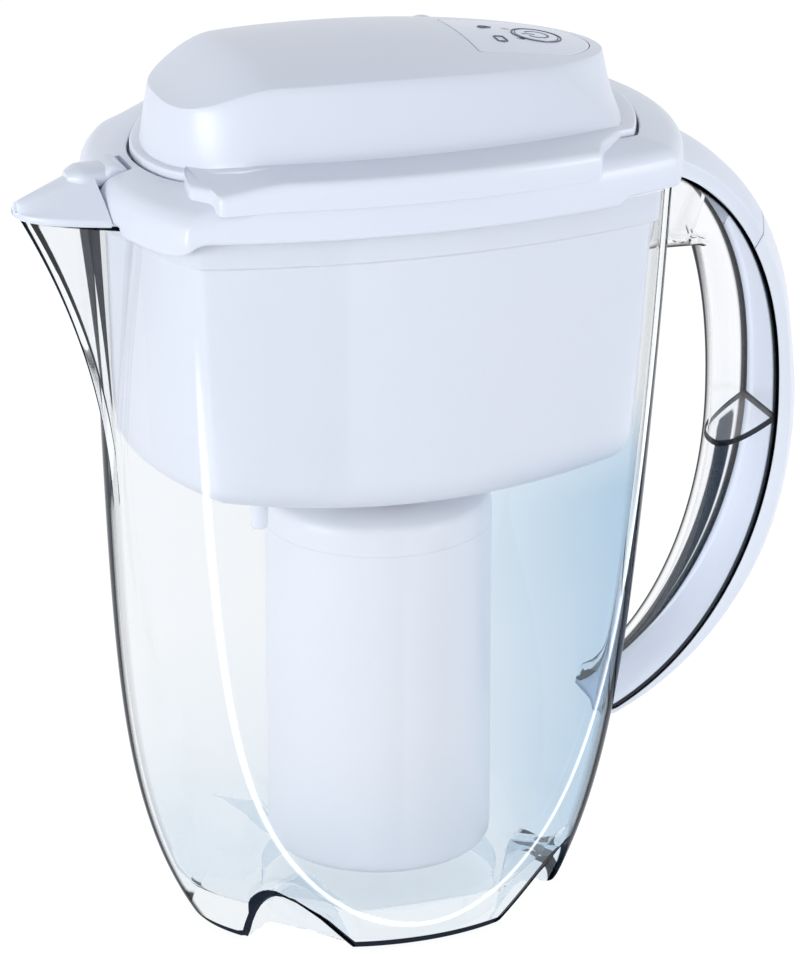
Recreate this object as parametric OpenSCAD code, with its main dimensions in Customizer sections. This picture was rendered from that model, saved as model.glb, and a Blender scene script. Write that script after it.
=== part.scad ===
// Countertop water filter pitcher: clear oval jug with a spout and a hollow handle, a white hopper
// that carries the filter cartridge, a white rim collar and a lid that holds a small air pump.
// Millimetres, +Z up. Every shape is worked out in the axis frame, where X = 0 is the axis of the
// cartridge, the spout points to -X and the handle to +X. placed() then moves it so that the origin
// lies under the middle of the whole pitcher.

/* [Jug] */
// Height of the jug rim above the table
jug_h = 242; // [230:1:255]
// Half length of the jug at the rim, spout side
spout_side_len = 87.2; // [84:0.2:91]
// Half length of the jug at the rim, handle side
handle_side_len = 89; // [86:0.2:92]
// Half width of the oval that the front and back panels cut into
oval_half_w = 93; // [90:0.5:97]
// Half width of the jug at the middle of a panel
panel_half_w = 61.5; // [59:0.5:65]
// Bow of the panels, as depth over half length squared
panel_bow = 0.0021; // [0.0015:0.0001:0.0026]
// Wall of the jug
jug_wall = 2.4; // [2:0.1:3]
// Height of the inside floor
floor_z = 12; // [10:0.5:15]
// Height of the four arches between the feet
arch_h = 21; // [14:0.5:24]
// Width of the four arches
arch_w = 33; // [28:1:38]
// Radius inside which the base stays round
base_core_r = 42; // [40:0.5:43]

/* [Spout] */
// How far the spout stands out from the jug wall
spout_reach = 25; // [20:0.5:30]
// Half width of the spout where it leaves the wall
spout_half_w = 21; // [18:0.5:23]
// Depth from the lip to the point where the spout fades
spout_depth = 99; // [80:1:105]
// How far the lip lies below the rim
lip_drop = 5.5; // [4.5:0.1:6.5]

/* [Handle] */
// Reach of the clear channel from the cartridge axis
handle_reach = 129; // [125:0.5:134]
// Half width of the handle
handle_half_w = 14; // [12:0.5:16]
// Depth of the channel from its open back to the finger side
grip_depth = 17.5; // [16.5:0.5:20]
// Height of the widest point of the handle
handle_mid_z = 155; // [148:0.5:162]
// Wall of the channel
channel_wall = 2.4; // [2:0.1:3]
// Edge height of the white strip and crest
strip_edge = 5; // [3.5:0.1:6]
// Crown of the strip above its edges
strip_crown = 6.6; // [4:0.1:8]

/* [Hopper] */
// Wall of the hopper
hopper_wall = 2.2; // [1.8:0.1:2.6]
// Depth of the hopper below the jug rim
hopper_depth = 93; // [85:1:98]
// Clearance between the hopper band and the jug
band_gap = 0.4; // [0.3:0.05:0.7]
// Height of the hopper band
band_h = 11; // [8:0.5:14]
// Inset of the bowl behind the band
bowl_inset = 2.6; // [2:0.1:4]
// Bore for the neck of the cartridge
neck_bore_d = 39; // [37:0.5:42]

/* [Collar] */
// How far the collar stands out from the jug wall
collar_out = 3; // [2.6:0.1:3.6]
// Height of the collar above the jug rim
collar_rise = 14.5; // [13:0.5:16]
// Width of the collar's shoulder, from the jug wall in to the lid
shoulder_w = 10.6; // [9.5:0.1:12]

/* [Spout flap] */
// Radius of the hinge barrel
flap_barrel_r = 4.2; // [3.6:0.1:4.6]
// Diameter of the hinge pin
flap_pin_d = 2; // [1.6:0.1:2.4]
// Wall of the flap
flap_wall = 1.6; // [1.3:0.1:2]

/* [Lid] */
// Height of the cover above its flange
dome_h = 24.5; // [22:0.5:28]
// Wall of the cover
dome_wall = 2; // [1.6:0.1:2.4]
// Half width of the cover's top
top_half_w = 36; // [33:0.5:38]
// Crown of the top
dome_crown = 4; // [3:0.5:6]
// Thickness of the lid flange
flange_t = 3; // [2.5:0.1:4]
// Front end of the side wings, from the axis to the spout
wing_to_spout = 61; // [54:1:66]
// Rear end of the side wings, from the axis to the handle
wing_to_handle = 49; // [40:1:54]
// Height of the wing skirts
wing_skirt_h = 8.5; // [7:0.5:10]
// Depth of the pump tray below the flange
tray_depth = 12; // [10:0.5:14]
// Diameter of the power button
button_d = 13; // [11:0.5:13.5]
// Travel of the power button
button_travel = 0.8; // [0.5:0.1:1]

/* [Cartridge] */
// Diameter of the cartridge
cartridge_d = 71; // [68:0.5:74]
// Height of its bottom above the table
cartridge_z = 20; // [18:0.5:24]
// Clear height between the cartridge's shoulder and the hopper's floor
shoulder_gap = 11; // [9:0.5:19]
// Wall of the cartridge
cartridge_wall = 2; // [1.6:0.1:2.6]
// Diameter of the neck
neck_d = 36; // [34:0.5:37]

/* [Hidden] */
$fn = 48;

white = [0.93, 0.94, 0.97];
clear_blue = [0.8, 0.88, 0.95, 0.35];

// Oval of the jug: how it narrows to the base
spout_draft = 0.02;
handle_draft = 0.065;
spout_tuck = 21;
handle_tuck = 15.5;
end_tuck_power = 6.5;
straight_h = 10;
oval_tuck = 49;
oval_tuck_power = 2;
panel_tuck = 15.4;
panel_tuck_power = 2.5;
least_crease_x = 3;
spout_power = 2.05;
nose_round = 1.4;
least_nose_w = 5;

// Columns of a ring: panels, handle end, spout end beside the nose, and the nose
n_panel = 14;
n_cap = 16;
n_arc = 5;
n_nose = 10;
n_ring = 2 * n_panel + n_cap + 2 * n_arc + n_nose;

seat_gap = 0.2;
lip_z = jug_h - lip_drop;
collar_top = jug_h + collar_rise;
ledge_z = collar_top - 5.1;
flange_z = collar_top - 1;
flange_top = flange_z + flange_t;
edge_z = flange_top + dome_h - dome_crown;
hopper_z = jug_h - hopper_depth;
bowl_floor = hopper_z + hopper_wall;
tray_z = flange_z - tray_depth;
tray_floor = tray_z + 2;

tip_x = -(half_len(lip_z, -1) + spout_reach + 2.2);
crest_h = strip_edge + strip_crown;
middle_x = (tip_x + handle_reach + crest_h) / 2;

// ---------------------------------------------------------------- plan of the jug

function lerp(a, b, t) = a + (b - a) * t;
function clamp01(t) = min(1, max(0, t));
function ramp(a, b, x) = let (t = clamp01((x - a) / (b - a))) t * t * (3 - 2 * t);
function up_share(z) = clamp01(1 - z / (jug_h - straight_h));

// Half length of the oval at height z, on the spout side (side < 0) or the handle side
function half_len(z, side) = side < 0
  ? spout_side_len - spout_draft * (jug_h - z) - spout_tuck * pow(up_share(z), end_tuck_power)
  : handle_side_len - handle_draft * (jug_h - z) - handle_tuck * pow(up_share(z), end_tuck_power);
function half_wid(z) = oval_half_w - oval_tuck * pow(up_share(z), oval_tuck_power);
function panel_y(z) = panel_half_w - panel_tuck * pow(up_share(z), panel_tuck_power);

// X of the crease where a panel, y = c - bow x^2, meets the oval with half axes a and b
function crease_x(a, b, c) = c >= b ? least_crease_x
  : let (k = panel_bow, p = b * b / (a * a) - 2 * c * k, q = c * c - b * b)
    max(least_crease_x, sqrt((-p + sqrt(p * p - 4 * k * k * q)) / (2 * k * k)));
function panel_at(x, a, b, c) = min(c - panel_bow * x * x, b * sqrt(max(0, 1 - x * x / (a * a))));
function end_x(y, a, b) = a * sqrt(max(0, 1 - y * y / (b * b)));

// Share of the spout's depth that lies below height z, from 0 at its point to 1 at the lip
function spout_share(z) = clamp01((z - lip_z + spout_depth) / spout_depth);
function nose_w(z) = max(least_nose_w, spout_half_w * spout_share(z));
function nose_p(z) = spout_reach * pow(spout_share(z), spout_power);

// Point of column i on the plan at height z, off outside the jug wall. reach is how far the nose
// columns stand out, w is their half width, and round makes the spout end rounder.
function plan_at(i, z, off, reach, w, round = 0) =
  let (al = half_len(z, -1) + off, ar = half_len(z, 1) + off, b = half_wid(z) + off, bl = b - round,
    c = panel_y(z) + off, xl = crease_x(al, bl, c), xr = crease_x(ar, b, c),
    fl = asin(panel_at(xl, al, bl, c) / bl), fr = asin(panel_at(xr, ar, b, c) / b),
    fw = asin(w / bl), j1 = i - n_panel, j2 = j1 - n_cap, j3 = j2 - n_panel,
    j4 = j3 - n_arc, j5 = j4 - n_nose)
  j1 < 0 ? let (x = lerp(-xl, xr, i / n_panel)) [x, -panel_at(x, x < 0 ? al : ar, x < 0 ? bl : b, c)]
  : j2 < 0 ? let (f = lerp(-fr, fr, j1 / n_cap)) [ar * cos(f), b * sin(f)]
  : j3 < 0 ? let (x = lerp(xr, -xl, j2 / n_panel)) [x, panel_at(x, x < 0 ? al : ar, x < 0 ? bl : b, c)]
  : j4 < 0 ? let (f = lerp(fl, fw, j3 / n_arc)) [-al * cos(f), bl * sin(f)]
  : j5 < 0 ? let (v = lerp(1, -1, j4 / n_nose), out = reach * (1 - pow(abs(v), nose_round)))
    [-end_x(v * w, al, bl) - out, v * w]
  : let (f = lerp(-fw, -fl, j5 / n_arc)) [-al * cos(f), bl * sin(f)];

// 1 on the nose columns and its two roots, 0 elsewhere
function on_nose(i) = let (j = i - 2 * n_panel - n_cap - n_arc) j >= 0 && j <= n_nose ? 1 : 0;
function plain_at(i, z, off) = plan_at(i, z, off, 0, spout_half_w);
// The lid's plan: the jug's at the rim with a rounder spout end, towards which it dips
lid_round = 18;
lid_dip = 5.5;
function lid_at(i, off, share = 1) = plan_at(i, jug_h, off, 0, spout_half_w, lid_round * share);
function dip(x) = lid_dip * ramp(37.2 - spout_side_len, 12.2 - spout_side_len, x);
function lid_ring(z, off, share = 1) = [for (i = [0:n_ring - 1])
  let (p = lid_at(i, off)) [p[0], p[1], z - share * dip(p[0])]];
function outline(z, off) = [for (i = [0:n_ring - 1]) plain_at(i, z, off)];

// X of the jug's wall on the handle side at height z and distance y from the middle
function handle_wall(y, z) = end_x(y, half_len(z, 1), half_wid(z));
function spout_wall(y, z) = -end_x(y, half_len(z, -1), half_wid(z));

// ---------------------------------------------------------------- surfaces from rings

function middle(ring) = [for (k = [0:2]) let (v = [for (p = ring) p[k]]) sum(v) / len(v)];
function sum(v, i = 0) = i == len(v) ? 0 : v[i] + sum(v, i + 1);

// Solid through a list of rings with as many points each. Its ends are closed with fans, with
// strips across a U-shaped section when bent is true, or by joining them when loop is true.
// turn is true for rings that run the other way.
module skin(rings, loop = false, bent = false, turn = false) {
  n = len(rings[0]);
  m = len(rings);
  fans = !loop && !bent;
  points = [for (r = rings) each r];
  ends = fans ? [middle(rings[0]), middle(rings[m - 1])] : [];
  sides = [for (k = [0:loop ? m - 1 : m - 2], i = [0:n - 1])
    let (a = k * n, b = (k + 1) % m * n, j = (i + 1) % n)
      each [[b + i, b + j, a + j], [b + i, a + j, a + i]]];
  fan_caps = fans ? [for (i = [0:n - 1]) let (j = (i + 1) % n, last = (m - 1) * n)
    each [[i, j, m * n], [last + j, last + i, m * n + 1]]] : [];
  strip_caps = bent ? [for (i = [0:n / 2 - 2]) let (j = n - 1 - i, last = (m - 1) * n)
    each [[i, i + 1, j - 1], [i, j - 1, j],
      [last + i, last + j - 1, last + i + 1], [last + i, last + j, last + j - 1]]] : [];
  faces = concat(sides, fan_caps, strip_caps);
  polyhedron(concat(points, ends), turn ? [for (f = faces) [f[2], f[1], f[0]]] : faces);
}

module placed() {
  translate([-middle_x, 0, 0]) children();
}

// ---------------------------------------------------------------- jug

jug_levels = [0, 2, 5, 9, 14, 20, 28, 38, 52, 70, 95, 125, 154, 172, 188, 202, 214, 224, 232];

// Height of a column: the nose columns run down to the lip near the rim
function jug_z(i, z) = z - pow(z / jug_h, 12) * lip_drop * on_nose(i);
function jug_ring(z, off) = [for (i = [0:n_ring - 1])
  let (h = jug_z(i, z), p = plan_at(i, h, off, nose_p(h), max(1, nose_w(h) + off)))
    [p[0], p[1], h]];
function inner_ring(z, off) = [for (i = [0:n_ring - 1])
  let (p = plan_at(i, min(z, jug_h), off, nose_p(z), max(1, nose_w(z) + off))) [p[0], p[1], z]];

module jug_outside() {
  skin(concat([jug_ring(0, -1.2)], [for (z = jug_levels) if (z > 0) jug_ring(z, 0)],
    [jug_ring(jug_h, 0)]));
}

module jug_inside() {
  floor_turn = 6;
  skin(concat([inner_ring(floor_z, -jug_wall - floor_turn),
      inner_ring(floor_z + 0.25 * floor_turn, -jug_wall - 0.35 * floor_turn),
      inner_ring(floor_z + floor_turn, -jug_wall)],
    [for (z = jug_levels) if (z > floor_z + floor_turn + 3) inner_ring(z, -jug_wall)],
    [inner_ring(jug_h + 1, -jug_wall)]));
}

// Arch-shaped blocks that scallop the wall between the feet, grown all round by grow
arch_power = 1.1;
arch_turn_spout = 41;
arch_turn_handle = 35;

module arches(grow) {
  for (turn = [arch_turn_handle, 180 - arch_turn_spout, 180 + arch_turn_spout, -arch_turn_handle])
    rotate([0, 0, turn]) translate([base_core_r - grow, 0, 0]) rotate([90, 0, 90])
      linear_extrude(60) polygon(concat([[arch_w / 2 + grow, -1], [-arch_w / 2 - grow, -1]],
        [for (q = [-1:0.125:1]) [q * (arch_w / 2 + grow), (arch_h + grow) * pow(1 - q * q, arch_power)]]));
}

module jug() {
  recess_r = base_core_r - 4;
  color(clear_blue) placed() difference() {
    jug_outside();
    difference() {
      jug_inside();
      arches(jug_wall);
    }
    arches(0);
    translate([0, 0, -1]) cylinder(r = recess_r, h = floor_z - jug_wall + 1);
  }
}

// ---------------------------------------------------------------- handle

loop_cx = 45;
edge_up = jug_h - handle_mid_z + 1.7;
edge_down = handle_mid_z - 49.6;
edge_square = 2.48;
finger_up = edge_up + 13;
finger_down = edge_down - 2.5;
finger_square = 2.27;
shelf_z = jug_h - 36;
shelf_share = 0.15;
n_station = 34;
seam_share = 0.243;
section_power = 2.6;
strip_fade = 0.7;

function sq(v, p) = pow(v, 2 / p);
// Point at angle f of a loop round the middle of the handle, squarer above than below
function loop_at(f, a, up, down, p) = [loop_cx + a * (f > 0 ? sq(cos(f), p) : cos(f)),
  handle_mid_z + (f > 0 ? up * sq(sin(f), p) : down * sin(f))];
edge_from = asin(pow((jug_h - 6 - handle_mid_z) / edge_up, edge_square / 2));
edge_to = -69.5;
finger_from = asin(pow((shelf_z - handle_mid_z) / finger_up, finger_square / 2));
finger_to = -61;

// Open edge and finger side of the channel at share u of its length. The finger side starts with
// a level shelf that leaves the jug's wall.
function edge_at(u) =
  loop_at(lerp(edge_from, edge_to, u), handle_reach - loop_cx, edge_up, edge_down, edge_square);
function finger_side(u) = loop_at(lerp(finger_from, finger_to, u),
  handle_reach - loop_cx - grip_depth, finger_up, finger_down, finger_square);
function finger_at(u) = u >= shelf_share ? finger_side((u - shelf_share) / (1 - shelf_share))
  : [lerp(handle_wall(0, shelf_z), finger_side(0)[0], u / shelf_share), shelf_z + 0.4];
function unit(v) = v / norm(v);

// A point of the handle's section at share u: y across, d along the way from edge to finger side,
// kept outside the jug's wall by gap, and lying on it at either end
function handle_pt(u, y, d, gap) =
  let (o = edge_at(u), n = unit(finger_at(u) - o), p = o + n * d, w = handle_wall(y, p[1]) + gap)
    [u <= 0 || u >= 1 ? w : max(w, p[0]), y, p[1]];
function u_curve(w, d) = [for (f = [-90:15:90])
  [w * sign(f) * sq(abs(sin(f)), section_power), d * sq(cos(f), section_power)]];
function channel_ring(u) =
  let (d = norm(finger_at(u) - edge_at(u)), out = u_curve(handle_half_w, d),
    in = u_curve(handle_half_w - channel_wall, d - channel_wall), last = len(in) - 1)
    [for (k = [0:2 * last + 1]) let (p = k <= last ? out[k] : in[2 * last + 1 - k])
      handle_pt(u, p[0], p[1], seat_gap)];
function rib_ring(u) =
  let (d = norm(finger_at(u) - edge_at(u)), t = channel_wall / 2)
    [for (p = u_curve(handle_half_w - t, d - t)) handle_pt(u, p[0], max(0.2, p[1]), seat_gap)];

module handle_channel() {
  rib_share = 0.008;
  color(clear_blue) placed() union() {
    skin([for (k = [0:n_station]) channel_ring(k / n_station)], bent = true);
    for (u = [0.09, 0.5]) skin([rib_ring(u - rib_share), rib_ring(u + rib_share)]);
  }
}

// Crowned cap on the open edge: its outer side, then its hollow underside back again
cap_wall = 2.4;
function cap_h(u, s) =
  (strip_edge + strip_crown * (1 - s * s)) * (1 - strip_fade * ramp(0.86, 1, u));
function cap_ring(u, w, off) =
  let (inside = 1 - cap_wall / w, steps = [-1:0.2:1])
    concat([cap_pt(u, -w, 0, off)], [for (s = steps) cap_pt(u, s * w, cap_h(u, s), off)],
      [cap_pt(u, w, 0, off), cap_pt(u, w * inside, 0, off)],
      [for (s = steps) cap_pt(u, -s * w * inside, max(0.1, cap_h(u, s) - cap_wall), off)],
      [cap_pt(u, -w * inside, 0, off)]);
function cap_pt(u, y, h, off) = let (p = handle_pt(u, y, -seat_gap - h, off))
  p[2] > jug_h - 3 ? p : handle_pt(u, y, -seat_gap - h, seat_gap);

module handle_strip() {
  n = 26;
  color(white) placed() skin([for (k = [0:n])
    cap_ring(lerp(seam_share + 0.003, 1, k / n), handle_half_w, seat_gap)], bent = true, turn = true);
}

module handle_crest() {
  n = 10;
  flare = 9;
  color(white) placed() skin([for (k = [0:n])
    cap_ring(seam_share * k / n, handle_half_w + flare * pow(1 - k / n, 2), collar_out + 0.3)],
      bent = true, turn = true);
}

// ---------------------------------------------------------------- hopper

band_off = -jug_wall - band_gap;
bowl_off = band_off - bowl_inset;
lobe_reach = 3.4;
lobe_w = 19;
lobe_z = hopper_z + 15;
bowl_bow = 9;

// Ring of the hopper: its floor rises to both ends, and its spout end has a shallow lobe
function hopper_ring(z, off, rise = 0) = [for (i = [0:n_ring - 1])
  let (p = plan_at(i, z, off, lobe_reach * ramp(lobe_z, lobe_z + 9, z), lobe_w))
    [p[0], p[1], z + rise * bowl_bow * pow(p[0] / spout_side_len, 2)]];

module hopper() {
  turn = 9;
  band_z = jug_h - band_h;
  t = hopper_wall;
  levels = [hopper_z + 22, hopper_z + 32, hopper_z + 50, hopper_z + 68];
  color(white) placed() difference() {
    union() {
      skin(concat(
        [hopper_ring(hopper_z, bowl_off - 3 * turn, 0), hopper_ring(hopper_z, bowl_off - turn, 1),
          hopper_ring(hopper_z + 0.3 * turn, bowl_off - 0.3 * turn, 0.9),
          hopper_ring(hopper_z + turn, bowl_off, 0.4)],
        [for (z = levels) hopper_ring(z, bowl_off)],
        [hopper_ring(band_z - 1, bowl_off), hopper_ring(band_z, band_off),
          hopper_ring(jug_h + seat_gap, band_off), hopper_ring(jug_h + seat_gap, band_off - t),
          hopper_ring(band_z + 1, band_off - t), hopper_ring(band_z - 1, bowl_off - t)],
        [for (k = [3:-1:0]) hopper_ring(levels[k], bowl_off - t)],
        [hopper_ring(bowl_floor + turn, bowl_off - t, 0.4),
          hopper_ring(bowl_floor + 0.3 * turn, bowl_off - t - 0.3 * turn, 0.9),
          hopper_ring(bowl_floor, bowl_off - t - turn, 1),
          hopper_ring(bowl_floor, bowl_off - t - 3 * turn, 0)]));
      translate([0, 0, hopper_z - socket_h]) cylinder(d = socket_d, h = socket_h + 1);
    }
    translate([0, 0, hopper_z - socket_h - 1]) cylinder(d = neck_bore_d, h = socket_h + 20);
    lug_slots();
    translate([vent_x, vent_y, hopper_z - 5]) cylinder(d = vent_d, h = 20);
  }
}

socket_h = 6;
socket_d = neck_bore_d + 16;
lug_r = neck_bore_d / 2 + 3.4;
lug_w = 12;
lug_h = 3;
vent_x = 38.7 - spout_side_len;
vent_y = -32;
vent_d = 5;

// Slots that let the bayonet lugs of the cartridge pass when it is turned a quarter
module lug_slots() {
  gap = 0.5;
  for (s = [-1, 1]) translate([-lug_w / 2 - gap, s > 0 ? 0 : -lug_r - gap, hopper_z - socket_h - 1])
    cube([lug_w + 2 * gap, lug_r + gap, socket_h + 20]);
}

module vent_valve() {
  color(white) placed() translate([vent_x, vent_y, hopper_z]) difference() {
    union() {
      translate([0, 0, -4.5]) cylinder(d = vent_d - 0.1, h = 10);
      translate([0, 0, -5.5]) cylinder(d = vent_d + 3, h = 3.5);
      translate([0, 0, hopper_wall + 3]) cylinder(d = vent_d + 3, h = 2.4);
    }
    translate([0, 0, -6]) cylinder(d = vent_d - 2.4, h = 20);
  }
}

// ---------------------------------------------------------------- collar

// Lower edge of the skirt: level along the panels, higher at the handle end, and lower at the
// spout end except over the spout itself
function skirt_z(x, y) =
  let (spout = ramp(17.2 - spout_side_len, 7.2 - spout_side_len, x),
    handle = ramp(handle_side_len - 32, handle_side_len - 29, x),
    over = 1 - ramp(spout_half_w + 1, spout_half_w + 3, abs(y)))
    jug_h - 2 + 2.4 * handle + spout * lerp(-5, -2.6, over);

collar_in = -shoulder_w;
ledge_in = collar_in - 5.4;
band_in = band_off - hopper_wall;

// Section of the collar as steps of [off, height, share of the dip, share of the rounder end]. A
// height below 0 is the skirt's lower edge.
function collar_section() = [
  [0.5, -1, 0, 0], [collar_out - 0.5, -1, 0, 0], [collar_out, -2, 0, 0],
  [collar_out, collar_top - 6.5, 1.6, 0], [collar_out - 0.9, collar_top - 4, 1.35, 0],
  [collar_out - 3, collar_top - 2.2, 1.12, 0.1], [collar_out - 8, collar_top - 0.9, 1, 0.5],
  [collar_in + 0.5, collar_top, 1, 0.96], [collar_in, collar_top - 0.5, 1, 1],
  [collar_in, ledge_z, 1, 1], [ledge_in, ledge_z, 1, 1], [ledge_in, ledge_z - 2.4, 1, 1],
  [band_in, jug_h + 4, 0.5, 0], [band_in, jug_h + seat_gap, 0, 0], [0.5, jug_h + seat_gap, 0, 0]];

function collar_ring(off, h, share, round) = [for (i = [0:n_ring - 1])
  let (p = lid_at(i, off, round), z = skirt_z(p[0], p[1]))
    [p[0], p[1], h == -1 ? z : h == -2 ? z + 1 : h - share * dip(p[0])]];

hinge_z = collar_top - lid_dip - flap_barrel_r + 0.8;
hinge_x = -(spout_side_len - 3.7);
barrel_half = 7;
pin_half = 11;

module collar() {
  color(white) placed() difference() {
    skin([for (s = collar_section()) collar_ring(s[0], s[1], s[2], s[3])], loop = true);
    translate([hinge_x, 0, hinge_z]) rotate([90, 0, 0]) {
      translate([0, 0, -barrel_half - 0.4]) cylinder(r = flap_barrel_r + 0.4, h = 2 * barrel_half + 0.8);
      translate([0, 0, -pin_half - 0.2]) cylinder(d = flap_pin_d, h = 2 * pin_half + 0.4);
    }
    translate([hinge_x - 20, -barrel_half - 0.4, hinge_z - flap_arm_h / 2 - 2])
      cube([20, 2 * barrel_half + 0.8, 30]);
    translate([hinge_x - 1, -barrel_half - 0.4, hinge_z])
      cube([flap_barrel_r + 1.4, 2 * barrel_half + 0.8, 30]);
  }
}

// ---------------------------------------------------------------- spout flap

flap_arm_h = 4;
flap_gap = 0.8;
flap_z = lip_z + 0.3;
n_flap = 12;

// Section of the flap at share u from its tip to the collar: half width at the lip, height of the
// middle of its roof, and half width of the roof between the two ridges
function flap_half(u) = (spout_half_w - 1.5) * sqrt(clamp01(u)) * 0.93 + 1.2;
function flap_roof(u) = lerp(lip_z + 5.5, hinge_z + flap_barrel_r - 1.2, u);
function flap_ridge(u) = 1 + 6.5 * sqrt(clamp01(u));
function flap_pt(u, y, z) =
  let (rear = spout_wall(y, jug_h) - collar_out - flap_gap) [lerp(tip_x, rear, u), y, z];

function flap_ring(u, in) =
  let (b = max(0.4, flap_half(u) - in), r = max(0.2, flap_ridge(u) - in), top = flap_roof(u) - in,
    low = flap_z - (in > 0 ? 1 : 0), m = lerp(b, r, 0.45))
    [for (p = [[-b + 0.4, low], [-b, low + 0.9], [-b + 0.2, low + 2], [-m, lerp(low, top - 2.4, 0.62)],
      [-r, top - 2.2], [-r * 0.6, top - 0.7], [0, top], [r * 0.6, top - 0.7], [r, top - 2.2],
      [m, lerp(low, top - 2.4, 0.62)], [b - 0.2, low + 2], [b, low + 0.9], [b - 0.4, low]])
      flap_pt(u, p[0], p[1])];

module spout_flap() {
  arm_x = spout_wall(0, jug_h) - collar_out - flap_gap - 3;
  color(white) placed() difference() {
    union() {
      difference() {
        skin([for (k = [0:n_flap]) flap_ring(pow(k / n_flap, 1.4), 0)], turn = true);
        skin([for (k = [0:n_flap]) flap_ring(lerp(0.1, 1.1, k / n_flap), flap_wall)], turn = true);
      }
      translate([arm_x, -barrel_half, hinge_z - flap_arm_h / 2 + 1])
        cube([hinge_x - arm_x, 2 * barrel_half, flap_arm_h]);
      translate([hinge_x, barrel_half, hinge_z]) rotate([90, 0, 0])
        cylinder(r = flap_barrel_r, h = 2 * barrel_half);
    }
    translate([hinge_x, barrel_half + 1, hinge_z]) rotate([90, 0, 0])
      cylinder(d = flap_pin_d + 0.1, h = 2 * barrel_half + 2);
  }
}

module flap_pin() {
  color("silver") placed() translate([hinge_x, pin_half, hinge_z]) rotate([90, 0, 0])
    cylinder(d = flap_pin_d, h = 2 * pin_half);
}

// ---------------------------------------------------------------- cartridge

cart_r = cartridge_d / 2;
shoulder_z = hopper_z - shoulder_gap;
cap_z = shoulder_z - 10;
neck_top = bowl_floor + 14;
neck_r = neck_d / 2;
block_z = cartridge_z + 12;
block_top = cap_z - 1;

module cartridge_shell() {
  t = cartridge_wall;
  round_r = 4;
  color(white) placed() rotate_extrude($fn = 96) polygon(concat(
    [[outlet_r + 0.1, cartridge_z], [cart_r - round_r, cartridge_z]],
    [for (f = [-75:15:-15])
      [cart_r - round_r + round_r * cos(f), cartridge_z + round_r + round_r * sin(f)]],
    [[cart_r, cartridge_z + round_r], [cart_r, cap_z - 0.3], [cart_r - t, cap_z - 0.3],
      [cart_r - t, cartridge_z + round_r], [cart_r - round_r, cartridge_z + t],
      [outlet_r + 0.1, cartridge_z + t]]));
}

outlet_r = 22;

module outlet_cap() {
  hole_ring = 14;
  color(white) placed() translate([0, 0, cartridge_z]) difference() {
    union() {
      translate([0, 0, 0.4]) cylinder(r = outlet_r, h = cartridge_wall + 0.6);
      translate([0, 0, cartridge_wall]) cylinder(r = outlet_r + 3, h = 2);
    }
    for (a = [0:45:315]) rotate([0, 0, a]) translate([hole_ring, 0, -1]) cylinder(d = 4, h = 8);
    translate([0, 0, -1]) cylinder(d = 8, h = 8);
  }
}

module cartridge_cap() {
  t = cartridge_wall;
  z = cap_z;
  color(white) placed() difference() {
    union() {
      rotate_extrude($fn = 96) polygon([[cart_r, z], [cart_r, shoulder_z - 4],
        [cart_r - 1.2, shoulder_z - 1.2], [cart_r - 4, shoulder_z], [neck_r + 4, shoulder_z + 2.4],
        [neck_r, shoulder_z + 3], [neck_r, neck_top], [neck_r - t, neck_top],
        [neck_r - t, shoulder_z + 0.4], [cart_r - 4.6, shoulder_z - 2.2],
        [cart_r - t, shoulder_z - 5], [cart_r - t, z]]);
      for (s = [0, 180]) rotate([0, 0, s]) intersection() {
        translate([0, -lug_w / 2, bowl_floor + seat_gap]) cube([lug_r - 0.4, lug_w, lug_h]);
        difference() {
          translate([0, 0, bowl_floor]) cylinder(r = lug_r - 0.4, h = 10);
          translate([0, 0, bowl_floor - 1]) cylinder(r = neck_r - 1, h = 12);
        }
      }
      translate([-neck_r + 1, -2, neck_top - 4]) cube([2 * neck_r - 2, 4, 10]);
    }
    for (a = [30:60:330]) rotate([0, 0, a]) translate([neck_r - t - 1, -3, bowl_floor + 5])
      cube([t + 3, 6, 5]);
    seal_groove();
  }
}

seal_d = 2.6;
seal_z = hopper_z - 1;

module seal_groove() {
  translate([0, 0, seal_z]) rotate_extrude($fn = 96)
    translate([neck_r - 0.9, -seal_d / 2 - 0.1]) square([4, seal_d + 0.2]);
}

module neck_seal() {
  color("dimgray") placed() translate([0, 0, seal_z]) rotate_extrude($fn = 96)
    translate([(neck_bore_d / 2 + neck_r - 0.9) / 2, 0])
      circle(d = neck_bore_d / 2 - neck_r + 0.8, $fn = 24);
}

module carbon_block() {
  color([0.16, 0.16, 0.17]) placed() translate([0, 0, block_z]) difference() {
    cylinder(r = cart_r - cartridge_wall - 0.3, h = block_top - block_z, $fn = 96);
    translate([0, 0, -1]) cylinder(r = membrane_r + 0.3, h = block_top - block_z + 2, $fn = 96);
  }
}

membrane_r = 19;

module membrane_bundle() {
  color([0.93, 0.92, 0.86]) placed() difference() {
    translate([0, 0, cartridge_z + cartridge_wall + 2.2])
      cylinder(r = membrane_r, h = block_top - cartridge_z - 8);
    translate([0, 0, cartridge_z]) cylinder(r = 4, h = block_top - cartridge_z - 14);
  }
}

// ---------------------------------------------------------------- lid

lid_off = collar_in - 0.8;
dome_off = lid_off - 3;
handle_cut = 2;
plug_off = ledge_in - 0.7;
plug_t = 2;
wing_out = collar_out + 1.7;
wing_gap = 0.4;

// Plan of the cover's top: an egg round top_cx, longer to the handle than to the spout
top_cx = -8;
top_spout_len = spout_side_len - 18.2 + top_cx;
top_handle_len = handle_side_len - 18 - top_cx;
edge_tilt = 0.00055;
edge_peak_x = -26;
hood_drop = 8;

function lid_outline(off) = [for (i = [0:n_ring - 1]) lid_at(i, off)];

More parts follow.
